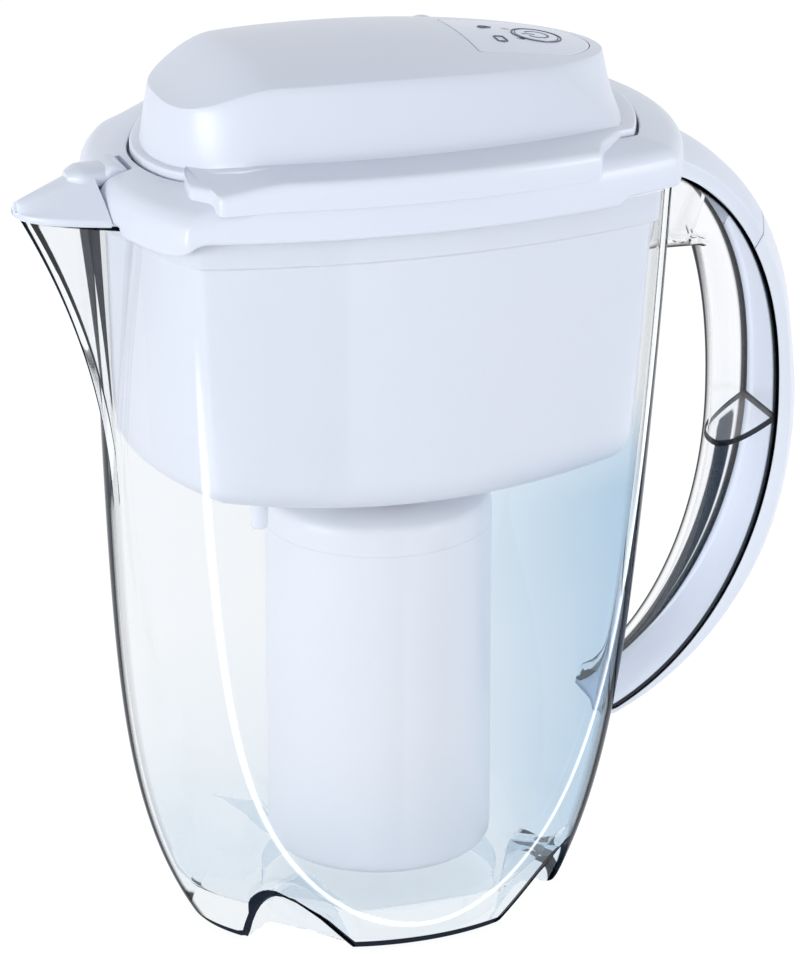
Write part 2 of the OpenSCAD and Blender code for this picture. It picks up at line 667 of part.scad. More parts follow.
// Outline of the two side wings, cut back to the flange in a slant at either end
module wing_outline(off) {
  slant = 8;
  reach = 200;
  intersection() {
    polygon(outline(jug_h, off));
    for (s = [-1, 1]) polygon([[-wing_to_spout - slant, s * panel_half_w / 2],
      [-wing_to_spout - slant, s * (panel_half_w - 12)],
      [-wing_to_spout - slant / 2, s * (panel_half_w - 6)],
      [-wing_to_spout, s * panel_half_w], [-wing_to_spout, s * reach],
      [wing_to_handle, s * reach], [wing_to_handle, s * panel_half_w],
      [wing_to_handle + slant / 2, s * (panel_half_w - 9)],
      [wing_to_handle + 2 * slant, s * (panel_half_w - 22)],
      [wing_to_handle + 2 * slant, s * panel_half_w / 2]]);
  }
}

module lid_base() {
  color(white) placed() difference() {
    union() {
      skin([lid_ring(tray_z, plug_off, 0), lid_ring(flange_z, plug_off), lid_ring(flange_z, lid_off),
        lid_ring(flange_top, lid_off), lid_ring(flange_top, dome_off),
        lid_ring(flange_top, dome_off - dome_wall), lid_ring(flange_top, plug_off - plug_t),
        lid_ring(tray_floor, plug_off - plug_t, 0)]);
      translate([0, 0, collar_top + wing_gap]) linear_extrude(flange_top - collar_top - wing_gap)
        difference() {
          wing_outline(wing_out);
          polygon(lid_outline(dome_off + 0.2));
        }
      translate([0, 0, flange_top - wing_skirt_h]) linear_extrude(wing_skirt_h) difference() {
        wing_outline(wing_out);
        polygon(outline(jug_h, collar_out + wing_gap));
      }
    }
    translate([nozzle_x, nozzle_y, tray_z - 1]) cylinder(d = nozzle_d, h = 10);
    for (p = screw_places) translate([p[0], p[1], tray_z - 1]) cylinder(d = screw_d + 0.6, h = 30);
  }
  color(white) placed() for (sx = [0, 1], sy = [-1, 1])
    translate([board_x + sx * (board_l - 6) + 3, sy * (board_w / 2 - 3), tray_floor - 0.5])
      cylinder(d = 5, h = board_z - tray_floor + 0.5);
  color(white) placed() difference() {
    translate([motor_x + 4, motor_y - 9, tray_floor - 0.5]) cube([motor_l - 8, 18, 5]);
    translate([motor_x, motor_y, motor_z]) rotate([0, 90, 0]) cylinder(r = motor_r + 0.1, h = motor_l);
  }
}

nozzle_y = 27;
nozzle_d = 7;
screw_d = 3;
screw_post_d = 8;
screw_spout_x = 33.2 - spout_side_len;
screw_handle_x = handle_side_len - 29;
screw_places = [for (x = [screw_spout_x, screw_handle_x], s = [-1, 1]) [x, s * 24]];
nozzle_x = screw_spout_x + 12;

// Height of the cover's edge and how its plan shrinks from foot to edge
function edge_at_x(x) = edge_z - edge_tilt * pow(x - edge_peak_x, 2)
  - hood_drop * ramp(45.2 - spout_side_len, 15.2 - spout_side_len, x);
function foot_at(i, in) = let (p = lid_at(i, dome_off - in))
  [p[0] - handle_cut * max(0, p[0] / handle_side_len), p[1]];
function egg_at(i, in) =
  let (p = foot_at(i, in) - [top_cx, 0], n = p[0] < 0 ? 3 : 2.1,
    a = p[0] < 0 ? top_spout_len : top_handle_len,
    k = pow(pow(abs(p[0]) / (a - in), n) + pow(abs(p[1]) / (top_half_w - in), n), -1 / n))
    p * min(0.99, k) + [top_cx, 0];
// Ring of the cover's side at share t of its height, and ring of its roof at share k of its plan
function side_ring(t, in) = [for (i = [0:n_ring - 1])
  let (q = lerp(foot_at(i, in), egg_at(i, in), t))
    [q[0], q[1], lerp(flange_top - dip(q[0]), edge_at_x(q[0]), side_h(t))]];
function side_h(t) = clamp01(1.12 * t - 0.12 * pow(t, 8));
function roof_ring(k, in, drop) = [for (i = [0:n_ring - 1])
  let (e = egg_at(i, in), q = (e - [top_cx, 0]) * k + [top_cx, 0])
    [q[0], q[1], edge_at_x(q[0]) + dome_crown * (1 - pow(k, 2.4)) - drop]];

module dome_solid(in, drop, base = 0) {
  skin(concat([[for (p = side_ring(0, in)) [p[0], p[1], p[2] - base]]],
    [for (t = [0.25, 0.5, 0.75, 0.92]) [for (p = side_ring(t, in)) [p[0], p[1], p[2] - drop * t]]],
    [for (k = [1, 0.95, 0.85, 0.7, 0.5, 0.25]) roof_ring(k, in, drop)]));
}

module roof_slab(drop, up) {
  difference() {
    dome_solid(-3, -up);
    dome_solid(0, drop, 1);
  }
}

module panel_prism(grow) {
  translate([0, 0, flange_top]) linear_extrude(40) intersection() {
    polygon([for (i = [0:n_ring - 1]) egg_at(i, 4 - grow)]);
    translate([panel_x - grow, -panel_w / 2 - grow]) square([60, panel_w + 2 * grow]);
  }
}

panel_x = handle_side_len - 63;
panel_w = 38;
panel_t = 1.2;
button_x = handle_side_len - 38;
led_places = [[button_x - 8, 6], [button_x - 7, -5.5]];
led_d = 2.6;
port_d = 11;
port_x = 30;
port_z = flange_top + 8;
port_face_y = 46;
socket_w = 9;
socket_t = 3.2;

module lid_cover() {
  t = dome_wall;
  color(white) placed() difference() {
    union() {
      difference() {
        dome_solid(0, 0, -2 * seat_gap);
        dome_solid(t, t, 1);
      }
      intersection() {
        dome_solid(0.5, 0.5);
        for (p = screw_places) translate([p[0], p[1], flange_top]) cylinder(d = screw_post_d, h = 60);
      }
      for (p = screw_places) translate([p[0], p[1], tray_floor + seat_gap])
        cylinder(d = screw_post_d, h = flange_top - tray_floor + 1);
      translate([port_x, port_face_y, port_z]) rotate([90, 0, 0]) cylinder(d = port_d + 4, h = 14);
    }
    intersection() {
      panel_prism(0.15);
      roof_slab(panel_t + 0.1, 3);
    }
    translate([button_x, 0, flange_top]) cylinder(d = button_d + 0.6, h = 100);
    for (p = led_places) translate([p[0], p[1], flange_top]) cylinder(d = led_d + 0.1, h = 100);
    translate([port_x, port_face_y + 1, port_z]) rotate([90, 0, 0]) cylinder(d = port_d, h = 9);
    translate([port_x - socket_w / 2, port_face_y - 20, port_z - socket_t / 2])
      cube([socket_w, 14, socket_t]);
    for (p = screw_places) translate([p[0], p[1], tray_floor]) cylinder(d = screw_d - 0.2, h = 14);
  }
}

module control_panel() {
  color([0.88, 0.9, 0.94]) placed() difference() {
    intersection() {
      panel_prism(0);
      roof_slab(panel_t, 0.3);
    }
    translate([button_x, 0, flange_top]) cylinder(d = button_d + 0.4, h = 100);
    for (p = led_places) translate([p[0], p[1], flange_top]) cylinder(d = led_d + 0.1, h = 100);
  }
}

board_x = handle_side_len - 63;
board_l = 40;
board_w = 38;
board_t = 1.6;
board_z = tray_floor + 14;
switch_top = board_z + board_t + 5;

module power_button() {
  flange_d = button_d + 3;
  flange_drop = dome_wall + 0.7;
  color([0.9, 0.92, 0.96]) placed() {
    intersection() {
      roof_slab(flange_drop + 1, 0.3);
      translate([button_x, 0, flange_top]) cylinder(d = button_d, h = 40);
    }
    difference() {
      intersection() {
        roof_slab(flange_drop + 1, -flange_drop);
        translate([button_x, 0, flange_top]) cylinder(d = flange_d, h = 40);
      }
      for (p = led_places) translate([p[0], p[1], flange_top]) cylinder(d = led_d + 1.2, h = 40);
    }
    intersection() {
      dome_solid(0, flange_drop);
      translate([button_x, 0, switch_top + button_travel + 0.1]) cylinder(d = 5, h = 40);
    }
  }
}

module light_pipes() {
  color([0.8, 0.9, 0.95]) placed() intersection() {
    dome_solid(-0.1, -0.1);
    for (p = led_places) translate([p[0], p[1], board_z + board_t + 0.1]) cylinder(d = led_d, h = 40);
  }
}

module circuit_board() {
  color([0.1, 0.4, 0.25]) placed() translate([board_x, -board_w / 2, board_z]) difference() {
    cube([board_l, board_w, board_t]);
    for (sx = [0, 1], sy = [0, 1])
      translate([3 + sx * (board_l - 6), 3 + sy * (board_w - 6), -1]) cylinder(d = 2.4, h = 4);
  }
}

module power_switch() {
  color([0.2, 0.2, 0.22]) placed() translate([button_x, 0, board_z + board_t]) {
    translate([-3, -3, 0]) cube([6, 6, 3.5]);
    cylinder(d = 3.5, h = switch_top - board_z - board_t);
  }
}

battery_l = 48;
battery_w = 26;
battery_h = 9;

module battery() {
  round_r = 4;
  color([0.35, 0.42, 0.55]) placed() translate([14, -battery_w / 2, tray_floor]) linear_extrude(battery_h)
    union() {
      translate([round_r, 0]) square([battery_l - 2 * round_r, battery_w]);
      translate([0, round_r]) square([battery_l, battery_w - 2 * round_r]);
      for (x = [round_r, battery_l - round_r], y = [round_r, battery_w - round_r])
        translate([x, y]) circle(round_r);
    }
}

motor_r = 12;
motor_l = 27;
motor_x = -50;
motor_y = -8;
motor_z = tray_floor + motor_r + 0.3;
shaft_d = 2;
head_x = motor_x + motor_l + 0.1;
head_l = 20;

module pump_motor() {
  color([0.75, 0.76, 0.78]) placed()
    translate([motor_x, motor_y, motor_z]) rotate([0, 90, 0]) difference() {
    union() {
      cylinder(r = motor_r, h = motor_l);
      translate([0, 0, -3]) cylinder(d = 8, h = 4);
    }
    translate([0, 0, -4]) cylinder(d = shaft_d + 0.1, h = motor_l + 8);
  }
}

module pump_head() {
  color([0.2, 0.22, 0.25]) placed() difference() {
    union() {
      translate([head_x, motor_y - motor_r, tray_floor])
        cube([head_l, 2 * motor_r, motor_z + motor_r - tray_floor]);
      translate([head_x + head_l / 2, motor_y + motor_r, motor_z]) rotate([-90, 0, 0])
        cylinder(d = 5, h = 5);
    }
    translate([head_x + 3, motor_y, motor_z]) rotate([0, 90, 0])
      cylinder(r = motor_r - 2.5, h = head_l - 5.5);
    translate([head_x - 1, motor_y, motor_z]) rotate([0, 90, 0]) cylinder(d = shaft_d + 0.4, h = 8);
    translate([head_x + head_l / 2, motor_y, motor_z]) rotate([-90, 0, 0])
      cylinder(d = 2.4, h = motor_r + 8);
  }
}

module pump_crank() {
  color([0.8, 0.8, 0.82]) placed() translate([motor_x - 2, motor_y, motor_z]) rotate([0, 90, 0]) {
    cylinder(d = shaft_d, h = motor_l + 15);
    translate([1.6, 0, motor_l + 2 + 4.5]) cylinder(r = 6, h = 7);
  }
}

module air_tube() {
  tube_d = 7.6;
  color([0.9, 0.92, 0.95, 0.6]) placed() difference() {
    union() {
      translate([nozzle_x, nozzle_y, motor_z]) rotate([0, 90, 0])
        cylinder(d = tube_d, h = tube_x - nozzle_x);
      translate([nozzle_x, nozzle_y, motor_z]) sphere(d = tube_d);
      translate([nozzle_x, nozzle_y, air_top]) cylinder(d = tube_d, h = motor_z - air_top);
      translate([tube_x, nozzle_y, motor_z]) sphere(d = tube_d);
      translate([tube_x, motor_y + motor_r + 0.2, motor_z]) rotate([-90, 0, 0])
        cylinder(d = tube_d, h = nozzle_y - motor_y - motor_r - 0.2);
    }
    translate([nozzle_x, nozzle_y, motor_z]) rotate([0, 90, 0]) cylinder(d = 5.1, h = tube_x - nozzle_x);
    translate([nozzle_x, nozzle_y, motor_z]) sphere(d = 5.1);
    translate([nozzle_x, nozzle_y, air_top - 1]) cylinder(d = 5.1, h = motor_z - air_top + 1);
    translate([tube_x, nozzle_y, motor_z]) sphere(d = 5.1);
    translate([tube_x, motor_y + motor_r - 1, motor_z]) rotate([-90, 0, 0])
      cylinder(d = 5.1, h = nozzle_y - motor_y - motor_r + 1);
  }
}

tube_x = head_x + head_l / 2;
air_top = tray_floor + 2.5;

module air_valve() {
  color([0.3, 0.3, 0.32]) placed() translate([nozzle_x, nozzle_y, 0]) difference() {
    union() {
      translate([0, 0, tray_z - 3]) cylinder(d = nozzle_d - 0.1, h = tray_floor - tray_z + 3.5);
      translate([0, 0, tray_floor + 0.1]) cylinder(d = nozzle_d + 4, h = 2);
      translate([0, 0, tray_floor + 0.1]) cylinder(d = 5, h = 8);
      translate([0, 0, tray_z - 3]) cylinder(d = nozzle_d + 1.6, h = 2.8);
    }
    translate([0, 0, tray_z - 4]) cylinder(d = 2.6, h = 30);
  }
}

module charge_socket() {
  l = 10;
  wall = 0.5;
  color([0.7, 0.71, 0.73]) placed()
    translate([port_x - socket_w / 2, port_face_y - 5 - l, port_z - socket_t / 2]) difference() {
      cube([socket_w, l, socket_t]);
      translate([wall, 2, wall]) cube([socket_w - 2 * wall, l, socket_t - 2 * wall]);
    }
}

module port_plug() {
  color([0.85, 0.87, 0.9]) placed() translate([port_x, port_face_y, port_z]) rotate([-90, 0, 0]) {
    translate([0, 0, 0.1]) cylinder(d = port_d + 4, h = 1.5);
    translate([0, 0, -4.5]) cylinder(d = port_d - 0.1, h = 5);
  }
}

module cover_screws() {
  color("silver") placed() for (p = screw_places) translate([p[0], p[1], 0]) difference() {
    union() {
      translate([0, 0, tray_z - 2]) cylinder(d = 5.5, h = 2);
      translate([0, 0, tray_z - 0.5]) cylinder(d = screw_d - 0.2, h = 13);
    }
    translate([0, 0, tray_z - 2.5]) cylinder(d = 2.4, h = 1.7, $fn = 6);
  }
}

module lid_gasket() {
  z = ledge_z + 0.3;
  color("gainsboro") placed() skin([lid_ring(z, lid_off - 0.6), lid_ring(flange_z, lid_off - 0.6),
    lid_ring(flange_z, plug_off + 0.4), lid_ring(z, plug_off + 0.4)], loop = true);
}

jug();
handle_channel();
handle_strip();
hopper();
collar();
handle_crest();
spout_flap();
flap_pin();
vent_valve();
cartridge_shell();
cartridge_cap();
neck_seal();
carbon_block();
membrane_bundle();
outlet_cap();
lid_base();
lid_cover();
lid_gasket();
control_panel();
power_button();
light_pipes();
circuit_board();
power_switch();
battery();
pump_motor();
pump_head();
pump_crank();
air_tube();
air_valve();
charge_socket();
port_plug();
cover_screws();
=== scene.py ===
"""Looks of a countertop water filter pitcher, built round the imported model.

The jug, handle, hopper, collar, spout flap, lid and cartridge are made again as fine surfaces
from the same formulas as the solids they stand for. Each sub-assembly is a class, each finish a
small frozen dataclass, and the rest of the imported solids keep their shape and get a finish.
"""

import logging
import math
from collections.abc import Sequence
from dataclasses import dataclass, field, replace
from enum import Enum

import bpy
import numpy as np
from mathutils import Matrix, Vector
from numpy.typing import NDArray

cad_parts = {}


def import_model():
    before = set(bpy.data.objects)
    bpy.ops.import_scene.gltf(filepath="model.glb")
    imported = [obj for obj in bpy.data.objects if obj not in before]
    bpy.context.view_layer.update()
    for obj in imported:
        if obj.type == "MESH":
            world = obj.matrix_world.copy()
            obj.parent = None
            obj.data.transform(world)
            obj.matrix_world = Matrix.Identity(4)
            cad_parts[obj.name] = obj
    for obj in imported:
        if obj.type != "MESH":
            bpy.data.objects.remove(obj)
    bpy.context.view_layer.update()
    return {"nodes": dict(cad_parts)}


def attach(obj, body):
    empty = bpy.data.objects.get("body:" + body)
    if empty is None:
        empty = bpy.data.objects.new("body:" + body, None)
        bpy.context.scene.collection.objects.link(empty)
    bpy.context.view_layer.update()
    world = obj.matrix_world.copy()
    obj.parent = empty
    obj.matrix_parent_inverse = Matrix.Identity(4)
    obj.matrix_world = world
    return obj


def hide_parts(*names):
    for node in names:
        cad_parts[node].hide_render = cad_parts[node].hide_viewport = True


Array = NDArray[np.float64]
Socket = bpy.types.NodeSocket
Piece = bpy.types.Object
LOG = logging.getLogger("pitcher")

MM = 0.001
MIDDLE_X = 13.155  # millimetres from the cartridge's axis to the middle of the pitcher
SMOOTH_BELOW = math.radians(32)  # faces that meet at less than this are shaded smooth
TINY = 1e-6  # keeps a division away from 0


# ---------------------------------------------------------------- small formulas


def ramp(start: float, stop: float, value: Array | float) -> Array:
    """Smooth step from 0 at start to 1 at stop: 3t^2 - 2t^3 of the clamped share t.

    Args:
        start: Value where the step begins.
        stop: Value where it ends.
        value: Where it is read.

    Returns:
        The step's height at each value.
    """
    t = np.clip((np.asarray(value, float) - start) / (stop - start), 0, 1)
    return t * t * (3 - 2 * t)


def soft_min(a: Array, b: Array, width: Array | float) -> Array:
    """Smaller of a and b, with the corner between them rounded off over width.

    Args:
        a: First surface.
        b: Second surface.
        width: Difference below which the corner is rounded.

    Returns:
        min(a, b) - (width - |a - b|)^2 / (4 width) near the corner, and min(a, b) elsewhere.
    """
    near = np.maximum(width - np.abs(a - b), 0)
    return np.minimum(a, b) - near * near / (4 * width)


def eased(count: int, start: bool = True, stop: bool = True) -> Array:
    """Shares from 0 to 1 without the last one, closer together near the ends that are asked for.

    Args:
        count: How many shares.
        start: True to crowd them near 0.
        stop: True to crowd them near 1.

    Returns:
        count shares: on a cosine where both ends are crowded, and even where none is.
    """
    t = np.arange(count) / count
    if not start and not stop:
        return t
    if start and stop:
        return 0.5 - 0.5 * np.cos(np.pi * t)
    if start:
        return 1 - np.cos(0.5 * np.pi * t)
    return np.sin(0.5 * np.pi * t)


def signed_power(value: Array, power: float) -> Array:
    """Value raised to a power with its sign kept."""
    return np.sign(value) * np.abs(value) ** power


def rounded(rings: Array, radii: Sequence[float], steps: int = 4, loop: bool = False) -> Array:
    """Rounds a loft's corners along its rows.

    Each row gives way to points on the quadratic curve (1-t)^2 A + 2t(1-t) P + t^2 B, where P is
    the row itself, and A and B lie on the way to the rows beside it, at most radius away.

    Args:
        rings: Rows of points, shape (rows, columns, 3).
        radii: One rounding radius for each row, 0 to keep the corner.
        steps: How many parts each rounding has.
        loop: True where the last row joins the first.

    Returns:
        The longer list of rows.
    """
    out = []
    last = len(rings) - 1
    for k, (here, radius) in enumerate(zip(rings, radii)):
        end = not loop and k in (0, last)
        if radius <= 0 or end:
            out.append(here)
            continue
        ways = [rings[k - 1] - here, rings[(k + 1) % len(rings)] - here]
        sides = []
        for way in ways:
            size = np.maximum(np.linalg.norm(way, axis=-1, keepdims=True), TINY)
            sides.append(here + way * np.minimum(0.49, radius / size))
        for t in np.linspace(0, 1, steps + 1):
            out.append((1 - t) ** 2 * sides[0] + 2 * t * (1 - t) * here + t * t * sides[1])
    return np.stack(out)


def rounded_columns(rings: Array, radii: Sequence[float], steps: int = 3) -> Array:
    """Rounds a loft's corners round its closed columns, as rounded() does along its rows."""
    return rounded(rings.swapaxes(0, 1), radii, steps, loop=True).swapaxes(0, 1)


def loft(rows: Sequence[tuple[Array, float]], steps: int = 4, loop: bool = False) -> Array:
    """Joins rows, each a ring and its rounding radius, into one grid, as rounded() does."""
    return rounded(np.concatenate([ring for ring, _ in rows]), [turn for _, turn in rows], steps, loop)


def unit(way: Array) -> Array:
    """Directions of length 1 along the last axis."""
    return way / np.linalg.norm(way, axis=-1, keepdims=True)


def lathe(profile: Sequence[tuple[float, float]], radii: Sequence[float],
          columns: int = 144) -> Array:
    """Turns a profile of (radius, height) points round the upright axis.

    Args:
        profile: Corners, going out and up along the outside.
        radii: Rounding radius of each corner.
        columns: How many columns round the axis.

    Returns:
        Rows of points, x = r cos(a) and y = r sin(a).
    """
    r, z = np.array(profile, float).T
    a = np.linspace(0, 2 * np.pi, columns, endpoint=False)
    rings = np.stack([r[:, None] * np.cos(a), r[:, None] * np.sin(a),
                      np.repeat(z[:, None], columns, 1)], -1)
    return rounded(rings, radii, 5)


# ---------------------------------------------------------------- meshes


class Ends(Enum):
    """How the first and last row of a grid are closed."""

    POLES = "poles"
    STRIPS = "strips"
    LOOP = "loop"


def grid_faces(rows: int, columns: int, ends: Ends) -> list[tuple[int, ...]]:
    """Faces of a grid whose columns run round in a closed ring.

    Args:
        rows: Rows of the grid.
        columns: Columns of the grid.
        ends: How its first and last row are closed.

    Returns:
        Corner numbers of each face. Poles are numbered after the grid's own points.
    """
    index = np.arange(rows * columns).reshape(rows, columns)
    if ends is Ends.LOOP:
        index = np.vstack([index, index[:1]])
    beside = np.roll(index, -1, axis=1)
    quads = np.stack([index[:-1], beside[:-1], beside[1:], index[1:]], -1).reshape(-1, 4)
    faces = list(map(tuple, quads.tolist()))
    if ends is Ends.POLES:
        low = rows * columns
        start = np.stack([np.full(columns, low), beside[0], index[0]], -1)
        stop = np.stack([index[-1], beside[-1], np.full(columns, low + 1)], -1)
        faces += list(map(tuple, np.vstack([start, stop]).tolist()))
    if ends is Ends.STRIPS:
        half = columns // 2
        k = np.arange(half - 1)
        far = columns - 1 - k
        start = np.stack([index[0, far], index[0, far - 1], index[0, k + 1], index[0, k]], -1)
        stop = np.stack([index[-1, k], index[-1, k + 1], index[-1, far - 1], index[-1, far]], -1)
        faces += list(map(tuple, np.vstack([start, stop]).tolist()))
    return faces


def convex_edges(rings: Array, ends: Ends, side: int) -> Array:
    """How strongly each point of a grid stands out as a convex edge, from 0 to 1.

    The turn of the face normals from one face to the next, over the distance between the faces'
    middles, is the curvature. It counts from a radius of 4.5 mm and in full from 1.25 mm.

    Args:
        rings: The grid's points in millimetres.
        ends: How its first and last row are closed.
        side: 1 where the faces look outwards, and -1 where the grid is turned.

    Returns:
        One value for each point, shape (rows, columns).
    """
    across = np.roll(rings, -1, axis=1) - rings
    along = np.roll(rings, -1, axis=0) - rings
    normal = side * np.cross(across, along)
    normal /= np.maximum(np.linalg.norm(normal, axis=-1, keepdims=True), 1e-9)
    middle = rings + 0.5 * (across + along)
    best = np.zeros(rings.shape[:2])
    for axis in (0, 1):
        turn = normal - np.roll(normal, 1, axis=axis)
        way = middle - np.roll(middle, 1, axis=axis)
        bend = (turn * way).sum(-1) / np.maximum((way * way).sum(-1), 1e-4)
        best = np.maximum(best, bend)
    if ends is not Ends.LOOP:
        best[0] = best[-1] = 0
    return ramp(0.22, 0.8, best)


MASKS = ("wear", "line", "glow", "inner")
ALONG_Y = [1, 2, 0]  # order of the axes that lays an upright lathe along y


@dataclass
class Part:
    """Grids that together make one piece, in millimetres from the cartridge's axis.

    Its masks are values from 0 to 1 at each point, in the order of MASKS: convex edges, which the
    finishes lighten as rubbed edges and as a painted highlight; painted dark edges on clear plastic;
    painted light on a crease and on an underside in shade; and the inside of a clear wall.
    """

    name: str
    points: list[Array] = field(default_factory=list)
    faces: list[tuple[int, ...]] = field(default_factory=list)
    masks: dict[str, list[Array]] = field(default_factory=lambda: {name: [] for name in MASKS})

    def add(self, rings: Array, ends: Ends = Ends.POLES, turned: bool = False,
            **masks: Array | float) -> "Part":
        """Adds one closed grid.

        Args:
            rings: Rows of points, shape (rows, columns, 3).
            ends: How the first and last row are closed.
            turned: True where the columns run the other way, so that the faces turn round.
            **masks: Values of its line, glow and inner masks.

        Returns:
            The part itself.
        """
        base = sum(len(p) for p in self.points)
        rows, columns = rings.shape[:2]
        faces = grid_faces(rows, columns, ends)
        if turned:
            faces = [f[::-1] for f in faces]
        self.faces += [tuple(base + v for v in f) for f in faces]
        self.points.append(rings.reshape(-1, 3))
        masks["wear"] = convex_edges(rings, ends, -1 if turned else 1)
        for name in MASKS:
            self.masks[name].append(np.broadcast_to(masks.get(name, 0.0), (rows, columns)).ravel())
        if ends is Ends.POLES:
            self.points.append(np.stack([rings[0].mean(0), rings[-1].mean(0)]))
            for name in self.masks:
                self.masks[name].append(np.zeros(2))
        return self

    def join(self, other: "Part") -> "Part":
        """Adds the grids of another part."""
        base = sum(len(p) for p in self.points)
        self.faces += [tuple(base + v for v in f) for f in other.faces]
        self.points += other.points
        for name, values in other.masks.items():
            self.masks[name] += values
        return self

    def mesh(self) -> bpy.types.Mesh:
        """Puts the grids into one mesh in metres, with the masks as point attributes."""
        points = (np.vstack(self.points) - [MIDDLE_X, 0, 0]) * MM
        mesh = bpy.data.meshes.new(self.name)
        mesh.from_pydata(points.tolist(), [], self.faces)
        for name, values in self.masks.items():
            mask = mesh.attributes.new(name, "FLOAT", "POINT")
            mask.data.foreach_set("value", np.concatenate(values))
        mesh.validate()
        smooth(mesh)
        return mesh

    def piece(self) -> Piece:
        """Makes the part's object and links it to the scene."""
        thing = bpy.data.objects.new(self.name, self.mesh())
        bpy.context.scene.collection.objects.link(thing)
        return thing


def smooth(mesh: bpy.types.Mesh) -> None:
    """Shades a mesh smooth, apart from its sharp edges."""
    mesh.polygons.foreach_set("use_smooth", np.ones(len(mesh.polygons), bool))
    mesh.set_sharp_from_angle(angle=SMOOTH_BELOW)
    mesh.update()


def cut(thing: Piece, cutters: Sequence[Part]) -> None:
    """Cuts parts out of a piece and keeps the result as its mesh.

    Args:
        thing: The piece.
        cutters: Closed parts, which aren't kept.
    """
    for cutter in cutters:
        other = cutter.piece()
        modifier = thing.modifiers.new("cut", "BOOLEAN")
        modifier.operation = "DIFFERENCE"
        modifier.solver = "EXACT"
        modifier.object = other
        shaped = thing.evaluated_get(bpy.context.evaluated_depsgraph_get())
        result = bpy.data.meshes.new_from_object(shaped)
        thing.modifiers.clear()
        thing.data = result
        bpy.data.objects.remove(other)
    smooth(thing.data)


def block(name: str, low: Sequence[float], high: Sequence[float], turn: float = 1.0) -> Part:
    """Closed block with rounded upright edges, as rings of a rounded rectangle.

    Args:
        name: Name of the part.
        low: Lowest corner in millimetres.
        high: Highest corner in millimetres.
        turn: Radius of the upright edges.

    Returns:
        The part.
    """
    (x0, y0, z0), (x1, y1, z1) = low, high
    corners = np.array([[x0, y0], [x1, y0], [x1, y1], [x0, y1]], float)
    ring = np.concatenate([corners, np.zeros((4, 1))], 1)[None]
    ring = rounded_columns(ring, [turn] * 4, 4)
    rings = np.concatenate([ring + [0, 0, z0], ring + [0, 0, z1]])
    return Part(name).add(rings)


def tube(name: str, start: Sequence[float], radius: float, length: float) -> Part:
    """Closed cylinder along y, made as a lathe that is turned on its side.

    Args:
        name: Name of the part.
        start: Middle of its first end, in millimetres.
        radius: Its radius.
        length: Its length.

    Returns:
        The part.
    """
    rings = lathe([(radius, 0), (radius, length)], [0, 0], 64)
    return Part(name).add(rings[..., ALONG_Y] + np.array(start, float))


# ---------------------------------------------------------------- plan of the pitcher


class Side(Enum):
    """Stretch of a ring that a column lies on, in the order in which a ring runs."""

    FRONT = 0
    HANDLE_END = 1
    BACK = 2
    BACK_ARC = 3
    NOSE = 4
    FRONT_ARC = 5


